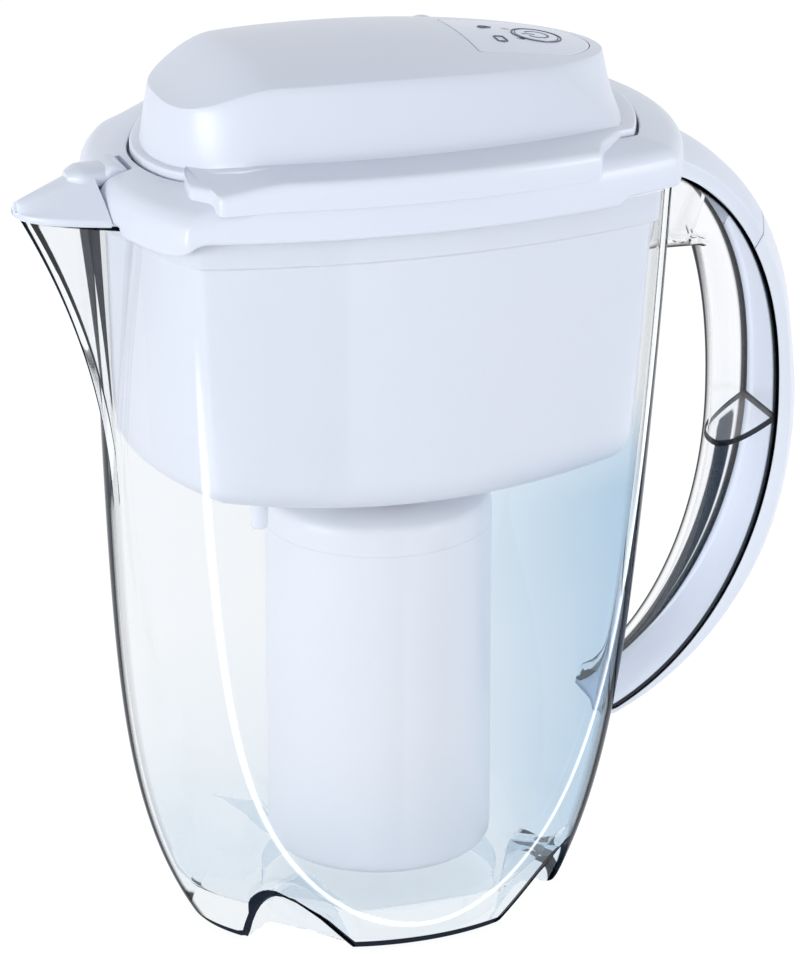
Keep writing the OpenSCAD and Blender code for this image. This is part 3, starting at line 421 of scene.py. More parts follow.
@dataclass(frozen=True)
class Plan:
    """Plan of the pitcher at each height: an oval cut by two bowed panels, with a spout nose.

    Lengths are in millimetres. A draft is a length for each millimetre below the rim, and a tuck is
    how much smaller the foot is than the straight part of the wall.
    """

    rim: float = 242.0
    spout_len: float = 87.2
    handle_len: float = 89.0
    oval_half: float = 93.0
    panel_half: float = 61.5
    bow: float = 0.0021
    spout_half_w: float = 21.0
    lip_drop: float = 5.5
    lid_round: float = 18.0
    lid_dip: float = 5.5
    nose_depth: float = 99.0
    nose_len: float = 25.0
    nose_power: float = 2.05
    tuck_power: float = 6.5
    spout_draft: float = 0.02
    spout_tuck: float = 21.0
    handle_draft: float = 0.065
    handle_tuck: float = 15.5
    width_tuck: float = 49.0
    panel_tuck: float = 15.4
    least_crease: float = 22.0
    counts: tuple[int, ...] = (46, 76, 46, 38, 48, 38)

    @property
    def columns(self) -> tuple[Array, Array]:
        """Stretch and share along it of each column, crowded near the creases."""
        kinds, shares = [], []
        for side, count in zip(Side, self.counts):
            crowded = side is not Side.NOSE
            kinds.append(np.full(count, side.value))
            shares.append(eased(count, crowded, crowded))
        return np.concatenate(kinds), np.concatenate(shares)

    @property
    def lip(self) -> float:
        """Height of the spout's lip."""
        return self.rim - self.lip_drop

    def up_share(self, z: Array) -> Array:
        """How far z lies below the straight part of the wall, from 0 to 1 at the table."""
        return np.clip(1 - z / (self.rim - 10), 0, 1)

    def half_len(self, z: Array, side: int) -> Array:
        """Half length of the oval at height z: its length less a draft and a power-law tuck."""
        tuck = self.up_share(z) ** self.tuck_power
        if side < 0:
            return self.spout_len - self.spout_draft * (self.rim - z) - self.spout_tuck * tuck
        return self.handle_len - self.handle_draft * (self.rim - z) - self.handle_tuck * tuck

    def half_wid(self, z: Array) -> Array:
        """Half width of the oval at height z."""
        return self.oval_half - self.width_tuck * self.up_share(z) ** 2

    def panel_y(self, z: Array) -> Array:
        """Distance of a panel's middle from the axis at height z."""
        return self.panel_half - self.panel_tuck * self.up_share(z) ** 2.5

    def crease_x(self, a: Array, b: Array, c: Array) -> Array:
        """X where the panel y = c - bow x^2 meets the oval with half axes a and b.

        It solves bow^2 x^4 + (b^2/a^2 - 2 c bow) x^2 + c^2 - b^2 = 0 for x, and gives at least
        least_crease.
        """
        k = self.bow
        p = b * b / (a * a) - 2 * c * k
        q = np.minimum(c * c - b * b, 0)
        squared = (-p + np.sqrt(p * p - 4 * k * k * q)) / (2 * k * k)
        return np.maximum(self.least_crease, np.sqrt(np.maximum(0, squared)))

    def nose_share(self, z: Array) -> Array:
        """Share of the spout's depth below z, from 0 at its point to 1 at the lip."""
        return np.clip((z - self.lip + self.nose_depth) / self.nose_depth, 0, 1)

    def nose_w(self, z: Array) -> Array:
        """Half width of the spout at height z."""
        return np.maximum(5, self.spout_half_w * self.nose_share(z))

    def nose_reach(self, z: Array) -> Array:
        """How far the spout stands out at height z: a power of the share."""
        return self.nose_len * self.nose_share(z) ** self.nose_power

    def ring(self, z: Array, off: Array = 0.0, reach: Array = 0.0, nose_w: Array = 21.0,
             rounder: Array = 0.0, crease: Array = 1.0) -> Array:
        """Points of one or more rings of the plan.

        A panel column runs along y = c - bow x^2, an end column along the oval (a cos f, b sin f),
        and a nose column stands reach (1 - |v|^1.4) out of the oval. The corner between panel and
        oval is rounded by soft_min. Every argument may be a number or an array that broadcasts to
        (rows, columns).

        Args:
            z: Height at which the plan is read.
            off: Distance outside the jug's wall.
            reach: How far the nose stands out.
            nose_w: Half width of the nose.
            rounder: How much narrower the oval is at the spout end.
            crease: Rounding of the crease.

        Returns:
            x and y of each point, shape (rows, columns, 2).
        """
        kind, t = (np.broadcast_to(v, (1, len(v))) for v in self.columns)
        z, off, reach, nose_w, rounder, crease, kind, t = np.broadcast_arrays(
            z, off, reach, nose_w, rounder, crease, kind, t)
        al, ar = self.half_len(z, -1) + off, self.half_len(z, 1) + off
        b = self.half_wid(z) + off
        bl = b - rounder
        c = self.panel_y(z) + off
        xl, xr = self.crease_x(al, bl, c), self.crease_x(ar, b, c)
        fl = np.arccos(np.clip(xl / al, -1, 1))
        fr = np.arccos(np.clip(xr / ar, -1, 1))
        fw = np.arcsin(np.clip(nose_w / bl, -1, 1))

        def oval_y(x: Array) -> Array:
            """Half width of the oval at x."""
            wide = np.where(x < 0, bl, b)
            long = np.where(x < 0, al, ar)
            return wide * np.sqrt(np.maximum(0, 1 - (x / long) ** 2))

        v = 1 - 2 * t
        nose_y = v * nose_w
        nose_x = -al * np.sqrt(np.maximum(0, 1 - (nose_y / bl) ** 2)) - reach * (1 - np.abs(v) ** 1.4)
        turn = np.choose(kind, [t, -fr + 2 * fr * t, t, fl + (fw - fl) * t, t, fw + (fl - fw) * t])
        long = np.where(kind == Side.HANDLE_END.value, ar, -al)
        end_x = long * np.cos(turn)
        x = np.choose(kind, [(xl + xr) * t - xl, end_x, xr - (xl + xr) * t, end_x, nose_x, end_x])
        side = np.choose(kind, [-1.0, np.sign(turn), 1.0, 1.0, 1.0, -1.0])
        y = side * soft_min(c - self.bow * x * x, oval_y(x), crease)
        y = np.where(kind == Side.NOSE.value, nose_y, y)
        return np.stack([x, y], -1)

    def rise(self, rings: Array, z: Array) -> Array:
        """Puts heights to the points of rings."""
        return np.concatenate([rings, np.broadcast_to(z, rings.shape[:2])[..., None]], -1)

    def nose_fade(self) -> Array:
        """How far each column belongs to the nose: 1 over it, and 0 just beside its roots."""
        kind, t = self.columns
        beside = np.where(kind == Side.BACK_ARC.value, ramp(0.55, 1, t), 0)
        beside = np.where(kind == Side.FRONT_ARC.value, 1 - ramp(0, 0.45, t), beside)
        return np.where(kind == Side.NOSE.value, 1.0, beside)[None]

    def dip(self, x: Array) -> Array:
        """How far the lid and the collar's top dip towards the spout at x."""
        return self.lid_dip * (1 - ramp(-75, -50, x))

    def lid(self, off: Array, share: Array = 1.0) -> Array:
        """The lid's plan: the jug's at the rim with a rounder spout end."""
        return self.ring(self.rim, off, rounder=self.lid_round * np.asarray(share))

    def wall_x(self, y: Array, z: Array, side: int = 1) -> Array:
        """X of the jug's wall at y and z, on the handle side or the spout side."""
        a, b = self.half_len(z, side), self.half_wid(z)
        return side * a * np.sqrt(np.maximum(0, 1 - (y / b) ** 2))


PLAN = Plan()
HOPPER_Z = PLAN.rim - 93
COLLAR_TOP = PLAN.rim + 14.5
FLANGE_TOP = COLLAR_TOP + 2
COLLAR_OUT = 3.0  # how far the collar stands out of the jug's wall
COLLAR_IN = -10.6  # where its shoulder ends inside, measured from the same wall
FLOOR_LIFT = 9.0  # how far the hopper's floor climbs towards the spout


@dataclass
class Jug:
    """Clear jug: oval wall with creased panels, a spout, and four arches between its feet."""

    wall: float = 2.4
    floor: float = 12.0
    arch_w: float = 33.0
    arch_h: float = 21.0
    arch_power: float = 1.1
    core_r: float = 42.0
    recess_r: float = 38.0
    recess_z: float = 9.6
    arch_turns: tuple[float, ...] = (35, 139, 221, -35)
    foot_turn: float = 1.6
    floor_turn: float = 6.0
    rim_out: float = 0.9
    rim_in: float = 0.6
    recess_rows: int = 8
    sole_rows: int = 22
    turn_rows: int = 4
    wall_rows: int = 136
    lip_rows: int = 8
    inner_rows: int = 80

    @property
    def wall_row(self) -> int:
        """Number of the outer wall's first row."""
        return self.recess_rows + self.sole_rows + self.turn_rows

    @property
    def rim_row(self) -> int:
        """Number of the rim's first row."""
        return self.wall_row + self.wall_rows

    def arches(self, points: Array, grow: float) -> Array:
        """Height of the arches at points of the plan.

        Along each arch's direction s the bell h (1 - (t/w)^2)^p stands at every s beyond the core,
        t being the distance across; the highest of the four counts.

        Args:
            points: x and y, shape (..., 2).
            grow: How far the arch is grown, for the inner surface.

        Returns:
            Heights in millimetres.
        """
        best = np.zeros(points.shape[:-1])
        for turn in np.radians(self.arch_turns):
            s = points[..., 0] * np.cos(turn) + points[..., 1] * np.sin(turn)
            t = points[..., 1] * np.cos(turn) - points[..., 0] * np.sin(turn)
            q = t / (self.arch_w / 2 + grow)
            bell = np.maximum(0, 1 - q * q) ** self.arch_power
            steep = 1.6 + 1.8 * grow
            past = ramp(-steep, steep, s - self.core_r + grow)
            best = np.maximum(best, (self.arch_h + grow) * bell * past)
        return best

    def heights(self, z: Array) -> Array:
        """Lowers the nose columns to the lip near the rim."""
        return z - (z / PLAN.rim) ** 12 * PLAN.lip_drop * PLAN.nose_fade()

    def wall_rings(self, z: Array, off: Array) -> Array:
        """Rings of the wall at heights z, off outside it, with the spout."""
        width = np.maximum(1, PLAN.nose_w(z) + off)
        crease = 0.45 + 0.5 * ramp(10, 70, z)
        return PLAN.rise(PLAN.ring(z, off, PLAN.nose_reach(z), width, crease=crease), z)

    def settled(self, off: float, grow: float, least: float) -> Array:
        """Ring at off that stands on the arches, at the highest height each column meets them."""
        z = np.linspace(least, self.arch_h + grow + 1, 90)[:, None] + np.zeros((1, sum(PLAN.counts)))
        over = self.arches(self.wall_rings(z, off)[..., :2], grow) - z
        last = len(z) - 2 - np.argmax(over[-2::-1] >= 0, 0)
        last = np.where(np.any(over[:-1] >= 0, 0), last, 0)[None]
        here, above = (np.take_along_axis(over, k, 0) for k in (last, last + 1))
        step = (z[1, 0] - z[0, 0]) * np.clip(here / np.maximum(here - above, TINY), 0, 1)
        return self.wall_rings(np.take_along_axis(z, last, 0) + step, off)

    def shell(self) -> Part:
        """Recess, sole, outside, rim, inside and floor as one closed surface."""
        out, turn, floor_turn = self.rim_out, self.foot_turn, self.floor_turn
        low = self.settled(0.0, 0.0, 0.0)[..., 2]
        high = self.heights(np.full_like(low, PLAN.rim))
        foot = self.settled(-turn, 0.0, 0.0)[..., :2]
        way, r, sole_r = unit(foot), self.recess_r, self.recess_r + 1.2
        recess = ((12, self.recess_z), (26, self.recess_z), (r - 1.4, self.recess_z),
                  (r - 0.4, self.recess_z - 0.4), (r, self.recess_z - 1.4), (r, 1.2), (r + 0.3, 0.4),
                  (sole_r, 0))
        rows = [PLAN.rise(way * radius, z) for radius, z in recess]
        for share in np.linspace(0.08, 1, self.sole_rows):
            p = way * sole_r + (foot - way * sole_r) * share
            rows.append(PLAN.rise(p, self.arches(p, 0)))
        for f in np.radians([20, 40, 60, 80]):
            rows.append(self.wall_rings(low + turn * (1 - math.cos(f)), -turn * (1 - math.sin(f))))
        for share in eased(self.wall_rows, True, False):
            z = low + turn + (PLAN.rim - out - low - turn) * share
            rows.append(self.wall_rings(self.heights(z), 0.0))
        for f in np.radians([0, 25, 50, 75, 90]):
            rows.append(self.wall_rings(high - out * (1 - math.sin(f)), -out * (1 - math.cos(f))))
        for f in np.radians([90, 60, 30]):
            off = self.rim_in * (1 - math.cos(f)) - self.wall
            rows.append(self.wall_rings(high - self.rim_in * (1 - math.sin(f)), off))
        base = self.settled(-self.wall - floor_turn, self.wall, self.floor)[..., 2]
        for share in 1 - eased(self.inner_rows, False, True):
            z = base + floor_turn + (PLAN.rim - out - base - floor_turn) * share
            rows.append(self.wall_rings(self.heights(z), -self.wall))
        for f in np.radians([80, 65, 50, 35, 20, 8, 0]):
            off = -self.wall - floor_turn * (1 - math.sin(f))
            rows.append(self.wall_rings(base + floor_turn * (1 - math.cos(f)), off))
        edge = rows[-1][..., :2]
        for share in np.concatenate([np.linspace(0.02, 0.4, 26), [0.55, 0.75, 0.95]]):
            p = edge * (1 - share)
            rows.append(PLAN.rise(p, np.maximum(self.floor, self.arches(p, self.wall))))
        rings = np.concatenate(rows)
        # painted dark edges, and a painted highlight on the near crease
        return Part("jug_body").add(rings, line=self.dark(rings, low), glow=self.painted_crease_highlight(rings),
                                    inner=self.within(len(rings)))

    def within(self, count: int) -> Array:
        """Mask of the rows that are inside the jug or under it, of count rows in all."""
        row = np.arange(count)[:, None]
        floor = row > self.rim_row + self.lip_rows + self.inner_rows + 2
        wall = 0.6 * (row > self.rim_row + 5)
        below = row < self.recess_rows + self.sole_rows
        return np.maximum(np.where(floor, 1.0, wall), below)

    def dark(self, rings: Array, low: Array) -> Array:
        """Mask of painted dark edges on the clear plastic: foot, lip, spout's tip and its far root.

        Args:
            rings: The jug's rows.
            low: Height of the foot's edge in each column.

        Returns:
            Values from 0 to 1.
        """
        kind, t = (v[None] for v in PLAN.columns)
        row = np.arange(len(rings))[:, None]
        z = rings[..., 2]
        near = 1 - ramp(12, 22, rings[..., 1])
        sole = self.recess_rows + self.sole_rows
        foot = ramp(sole - 2.5, sole - 0.5, row) * (1 - ramp(2.6, 3.6, z - low)) * (row < 90) * near
        nose = kind == Side.NOSE.value
        lip = ramp(PLAN.lip - 1.2, PLAN.lip - 0.4, z) * nose
        v = np.abs(1 - 2 * t)
        share = PLAN.nose_share(z)
        wide = np.where(row > self.rim_row, 0.19, 0.12)
        tip = nose * (1 - ramp(wide * 0.7, wide, v)) * ramp(0.0, 0.08, share)
        far = (rings[..., 1] > 0) & (row > self.wall_row)
        root = nose * far * ramp(0.82, 0.86, v) * ramp(0.12, 0.5, share)
        return np.max(np.broadcast_arrays(foot, lip, tip, root), 0)

    def painted_crease_highlight(self, rings: Array) -> Array:
        """Mask of the painted highlight on the near panel's crease on the outer wall, about half a
        millimetre to each side.

        The distance to a crease is |D| over the length of D's gradient, D being how much further
        out the oval stands than the panel at the same x and z.

        Args:
            rings: The jug's rows.

        Returns:
            Values from 0 to 1.
        """
        def over(x: Array, z: Array) -> Array:
            """How much further out the oval stands than the panel."""
            long = np.where(x < 0, PLAN.half_len(z, -1), PLAN.half_len(z, 1))
            oval = PLAN.half_wid(z) * np.sqrt(np.maximum(0.001, 1 - (x / long) ** 2))
            return oval - PLAN.panel_y(z) + PLAN.bow * x * x

        x, y, z = np.moveaxis(rings, -1, 0)
        here, step = over(x, z), 0.05
        slope = np.hypot(over(x + step, z) - here, over(x, z + step) - here) / step
        near = 1 - ramp(0.2, 0.9, np.abs(here) / np.maximum(slope, 0.02))
        fade = ramp(216, 150, z) * ramp(3.0, 6.0, z)
        row = np.arange(len(rings))
        outer = (row >= self.wall_row) & (row < self.rim_row)
        return near * fade * outer[:, None] * (y < 0)


@dataclass
class Handle:
    """Clear channel of the handle with two webs, and the white strip and crest that close it.

    edge_end and finger_end are the angles in degrees at which the two loops meet the jug again, and
    edge_low and finger_low the heights of their lowest points.
    """

    reach: float = 129.0
    half_w: float = 14.0
    grip_depth: float = 17.5
    mid_z: float = 155.0
    wall: float = 2.4
    strip_edge: float = 5.0
    crown: float = 6.6
    middle: float = 45.0
    seam: float = 0.243
    seat: float = 0.2
    section_power: float = 2.6
    edge_power: float = 2.48
    edge_low: float = 49.6
    edge_end: float = -69.5
    finger_power: float = 2.27
    finger_low: float = 52.1
    finger_end: float = -61.0
    finger_drop: float = 36.0
    shelf: float = 0.15
    shoulder: float = 1.6

    def loop(self, angle: Array, a: float, up: float, down: float, power: float) -> Array:
        """Point at an angle of a loop round the handle's middle, a superellipse above it.

        x = middle + a cos(f)^(2/p) and z = mid + up sin(f)^(2/p) above the middle, and a plain
        ellipse with half height down below it.
        """
        over = angle > 0
        c, s = np.cos(angle), np.sin(angle)
        x = self.middle + a * np.where(over, signed_power(c, 2 / power), c)
        z = self.mid_z + np.where(over, up * signed_power(s, 2 / power), down * s)
        return np.stack([x, z], -1)

    def start(self, z: float, up: float, power: float) -> float:
        """Angle at which a loop passes height z."""
        return math.asin(((z - self.mid_z) / up) ** (power / 2))

    def edge(self, u: Array) -> Array:
        """Open edge of the channel at share u of its length."""
        up = PLAN.rim - self.mid_z + 1.7
        first, last = self.start(PLAN.rim - 6, up, self.edge_power), math.radians(self.edge_end)
        return self.loop(first + (last - first) * u, self.reach - self.middle, up,
                         self.mid_z - self.edge_low, self.edge_power)

    def finger(self, u: Array) -> Array:
        """Finger side of the channel: a level shelf out of the jug's wall, then a loop."""
        up, power, top = PLAN.rim - self.mid_z + 14.7, self.finger_power, PLAN.rim - self.finger_drop
        out, down = self.reach - self.middle - self.grip_depth, self.mid_z - self.finger_low
        first, last = self.start(top, up, power), math.radians(self.finger_end)
        t = np.maximum(0, (u - self.shelf) / (1 - self.shelf))
        side = self.loop(first + (last - first) * t, out, up, down, power)
        wall = PLAN.wall_x(0.0, top)
        start_x = self.loop(np.array(first), out, up, down, power)[0]
        level_x = wall + (start_x - wall) * np.minimum(1, u / self.shelf)
        level = np.stack([level_x, np.full_like(u, top + 0.4)], -1)
        return np.where((u >= self.shelf)[..., None], side, level)

    def place(self, u: Array, y: Array, d: Array, gap: Array) -> Array:
        """Point of a section: y across, d along the way from the edge to the finger side.

        It is kept outside the jug's wall by gap, and lies on the wall at either end.

        Args:
            u: Share of the handle's length, shape (rows, 1).
            y: Distance across.
            d: Distance from the open edge.
            gap: Clearance to the jug's wall.

        Returns:
            Points, shape (rows, columns, 3).
        """
        edge = self.edge(u)
        way = unit(self.finger(u) - edge)
        u, y, d = np.broadcast_arrays(u, y, d)
        p = edge + way * d[..., None]
        wall = PLAN.wall_x(y, p[..., 1]) + gap
        x = np.where((u <= 0) | (u >= 1), wall, np.maximum(wall, p[..., 0]))
        return np.stack([x, y, p[..., 1]], -1)

    def bow(self, width: Array, depth: Array, steps: int = 33) -> tuple[Array, Array]:
        """U curve of a section: y = w sin(f)^(2/p) and d = depth cos(f)^(2/p)."""
        f = np.radians(np.linspace(-90, 90, steps))
        power = 2 / self.section_power
        return width * signed_power(np.sin(f), power), depth * signed_power(np.cos(f), power)

    def depth(self, u: Array) -> Array:
        """Depth of the channel from its open edge to its finger side."""
        return np.linalg.norm(self.finger(u) - self.edge(u), axis=-1)

    def channel(self) -> Part:
        """The clear channel with its two webs."""
        level, rest = np.linspace(0, self.shelf, 18)[:-1], np.linspace(self.shelf, 1, 90)
        u = np.concatenate([level, rest])[:, None]
        depth = self.depth(u)
        y_out, d_out = self.bow(self.half_w, depth)
        y_in, d_in = self.bow(self.half_w - self.wall, depth - self.wall)
        y = np.concatenate([y_out, y_in[::-1]])
        d = np.concatenate([d_out, d_in[:, ::-1]], axis=1)
        line = self.dark(u, len(y_out))
        inner = 0.85 * (np.arange(2 * len(y_out)) >= len(y_out))
        part = Part("handle_body")
        part.add(self.place(u, y, d, self.seat), Ends.STRIPS, line=line, inner=inner)
        part.join(self.web(0.09, 0.0))
        part.join(self.web(0.5, 1.0))
        return part

    def web(self, share: float, dark: float) -> Part:
        """Web across the channel at a share of its length, its border painted as dark as told."""
        half = 0.004
        u = half * np.array([-1, -1, -1, 1, 1, 1])[:, None] + share
        size = np.array([0.1, 0.86, 1.0, 1.0, 0.86, 0.1])[:, None]
        depth = self.depth(u)
        y, d = self.bow(self.half_w - self.wall / 2, depth - self.wall / 2)
        d = np.maximum(0.2, d)
        rings = self.place(u, y * size, depth / 2 + (d - depth / 2) * size, self.seat)
        return Part("web").add(rings, Ends.STRIPS, line=dark * (size == 1.0))

    def dark(self, u: Array, count: int) -> Array:
        """Mask of painted dark edges on the channel: its open edges, and a band inside its far wall below
        the middle.

        Args:
            u: Share of the handle's length of each row.
            count: Columns of its outside; its inside has as many.

        Returns:
            Values from 0 to 1.
        """
        k = np.arange(2 * count)[None]
        rim = (k == 0) | (k == count - 1) | (k == count) | (k == 2 * count - 1)
        band = ramp(count + 0.5, count + 2, k) * (1 - ramp(count + 5, count + 7, k))
        return np.maximum(rim, band * ramp(0.5, 0.52, u))

    def cap(self, name: str, first: float, last: float, flare: float, off: float, rows: int) -> Part:
        """Crowned cap on the open edge, with a hollow underside.

        Its height is edge + crown (1 - s^2) across, s being the share of its half width, and it
        thins by up to 0.7 of that towards the lower end. A mask marks its underside, in shade, for painted
        light.

        Args:
            name: Name of the part.
            first: Share of the handle at which it starts.
            last: Share at which it ends.
            flare: How much wider it is where it starts.
            off: Clearance to the wall near the rim.
            rows: How many sections it has.

        Returns:
            The part.
        """
        u = np.linspace(first, last, rows)[:, None]
        width = self.half_w + flare * ((last - u) / (last - first)) ** 2
        inner = width - self.wall
        across = np.sin(np.radians(np.linspace(-90, 90, 25)))
        height = (self.strip_edge + self.crown * (1 - across**2)) * (1 - 0.7 * ramp(0.66, 1, u))
        y = np.concatenate([-width, across * width, width, inner, -across * inner, -inner], 1)
        zero = np.zeros_like(u)
        hollow = np.maximum(0.1, height - self.wall)
        h = np.concatenate([zero, height, zero, zero, hollow, zero], 1)
        near, far = (self.place(u, y, -self.seat - h, gap) for gap in (self.seat, off))
        rings = np.where(far[..., 2:] > PLAN.rim - 3, far, near)
        between = [0.0] * (len(across) - 2)
        outer = [0.0, self.shoulder, *between, self.shoulder, 0.0]
        under = [0.0, self.shoulder / 2, *between, self.shoulder / 2, 0.0]
        rings = rounded_columns(rings, outer + under)
        # painted light: marks the underside, which lies in shade, so that a finish can light it
        below = 1.0 * (np.arange(rings.shape[1]) > rings.shape[1] // 2)
        return Part(name).add(rings, Ends.STRIPS, turned=True, glow=below)


@dataclass
class Hopper:
    """White hopper: a bowl on a band inside the jug, with the socket for the cartridge's neck."""

    wall: float = 2.2
    band: float = -2.8
    inset: float = 2.6
    band_h: float = 11.0
    bore_r: float = 19.5
    socket_r: float = 27.5
    socket_h: float = 6.0
    turn: float = 9.0
    vent_at: tuple[float, float, float] = (-48.5, -32.0, 0.0)

    def ring(self, z: float, off: float, rise: float = 0.0) -> Array:
        """Ring of the hopper: its floor climbs by rise times FLOOR_LIFT (x / spout length)^2."""
        reach = 3.4 * ramp(HOPPER_Z + 15, HOPPER_Z + 24, z)
        p = PLAN.ring(z, off, np.reshape(reach, (1, 1)), 19.0, crease=1.4)
        return PLAN.rise(p, z + rise * FLOOR_LIFT * (p[..., 0] / PLAN.spout_len) ** 2)

    def ways(self) -> Array:
        """Direction of each column from the axis."""
        return unit(PLAN.ring(HOPPER_Z, -30.0))

    def circle(self, radius: Array | float, z: float) -> Array:
        """Ring of the same columns at a radius from the axis."""
        return PLAN.rise(self.ways() * np.asarray(radius)[..., None], z)

    def bore(self) -> Array:
        """Radius of the bore in each column's direction, with its two slots for the lugs."""
        way = np.maximum(np.abs(self.ways()), TINY)
        half_w, reach = 6.5, 23.4
        return np.maximum(self.bore_r, np.minimum(half_w / way[..., 0], reach / way[..., 1]))

    def shell(self) -> Part:
        """Underside, wall, band, inside and bore as one closed surface."""
        bowl, t = self.band - self.inset, self.wall
        socket_z, band_z, top = HOPPER_Z - self.socket_h, PLAN.rim - self.band_h, PLAN.rim + 0.2
        levels = [HOPPER_Z + h for h in (22, 36, 52, 68)]
        rows = [(self.circle(self.bore(), socket_z), 0.5), (self.circle(self.socket_r, socket_z), 0.8),
                (self.circle(self.socket_r, HOPPER_Z), 1.0), *self.corner(HOPPER_Z, bowl)]
        rows += [(self.ring(z, bowl), 3.0) for z in levels]
        rows += [(self.ring(band_z - 1, bowl), 0.5), (self.ring(band_z, self.band), 0.5),
                 (self.ring(top, self.band), 0.4), (self.ring(top, self.band - t), 0.4),
                 (self.ring(band_z + 1, self.band - t), 0.5), (self.ring(band_z - 1, bowl - t), 0.5)]
        rows += [(self.ring(z, bowl - t), 3.0) for z in levels[::-1]]
        rows += [*self.corner(HOPPER_Z + t, bowl - t)[::-1], (self.circle(self.bore(), HOPPER_Z + t), 0.5)]
        return Part("hopper_body").add(loft(rows, 5, loop=True), Ends.LOOP)

    def corner(self, z: float, off: float) -> list[tuple[Array, float]]:
        """Rows with their radii from the floor at height z round to the wall at off."""
        turn = self.turn
        return [(self.ring(z, off - 3 * turn), 6.0), (self.ring(z, off - turn, 1.0), 5.0),
                (self.ring(z + 0.3 * turn, off - 0.3 * turn, 0.9), 3.0),
                (self.ring(z + turn, off, 0.4), 3.0)]

    def vent(self) -> Part:
        """Air vent through the floor: a short sleeve with a rounded end and a hole."""
        low, high, hole, sleeve_r, head_r = HOPPER_Z - 7.0, HOPPER_Z + 5.4, 1.1, 2.6, 4.6
        rows = [(hole, low), (sleeve_r, low), (sleeve_r, HOPPER_Z + 2.6), (head_r, HOPPER_Z + 2.8),
                (head_r, high), (hole, high)]
        sleeve = lathe(rows, [0.3, 1.3, 0.2, 0.3, 0.6, 0.2], 40)
        return Part("vent_sleeve").add(sleeve + np.array(self.vent_at), Ends.LOOP)


@dataclass
class Collar:
    """White collar on the jug's rim: skirt, shoulder that rises to the lid, and the lid's ledge."""

    hinge_x: float = -83.5
    hinge_z: float = 247.6
    barrel_r: float = 4.2
    barrel_half: float = 7.0

    def skirt_z(self, p: Array) -> Array:
        """Height of the skirt's lower edge: level, raised at the handle, lowered at the spout."""
        x, y = p[..., 0], np.abs(p[..., 1])
        over = 1 - ramp(22, 24, y)
        spout = ramp(-70, -80, x) * (-5 + 2.4 * over)
        return PLAN.rim - 2 + 2.4 * ramp(57, 60, x) + spout

    def ring(self, off: float, z: float, dips: float, rounder: float) -> Array:
        """Ring of the section. A z below 0 counts up from the skirt's lower edge, less 1."""
        p = PLAN.lid(off, rounder)
        low = self.skirt_z(p) + (-z - 1)
        high = z - dips * PLAN.dip(p[..., 0])
        return PLAN.rise(p, low if z < 0 else high)

    def shell(self) -> Part:
        """The collar as a section carried round the plan."""
        top, out, inside, ledge = COLLAR_TOP, COLLAR_OUT, COLLAR_IN, COLLAR_IN - 5.4
        rows = [(0.5, -1, 0, 0, 0.3), (out - 0.5, -1, 0, 0, 0.4), (out, -2, 0, 0, 0.7),
                (out, top - 6.5, 1.6, 0, 2.4), (out - 0.9, top - 4, 1.35, 0, 1.3),
                (0.0, top - 2.2, 1.12, 0.1, 2.2), (-5.0, top - 0.9, 1, 0.5, 2.6),
                (inside + 0.5, top, 1, 0.96, 0.45), (inside, top - 0.5, 1, 1, 0.3),
                (inside, top - 5.1, 1, 1, 0.4), (ledge, top - 5.1, 1, 1, 0.4),
                (ledge, top - 7.5, 1, 1, 0.4), (-5.0, PLAN.rim + 4, 0.5, 0, 1.5),
                (-5.0, PLAN.rim + 0.2, 0, 0, 0.3), (0.5, PLAN.rim + 0.2, 0, 0, 0.3)]
        rings = loft([(self.ring(*row[:4]), row[4]) for row in rows], loop=True)
        return Part("collar_body").add(rings, Ends.LOOP)

    def slots(self) -> list[Part]:
        """What is cut out of the collar for the flap's hinge."""
        play, x, z = 0.4, self.hinge_x, self.hinge_z
        half, r = self.barrel_half + play, self.barrel_r + play
        return [tube("barrel_room", (x, -half, z), r, 2 * half),
                block("arm_room", (x - 20, -half, z - 4), (x, half, z + 20), 0.3),
                block("barrel_way", (x - 1, -half, z), (x + r, half, z + 20), 0.3)]


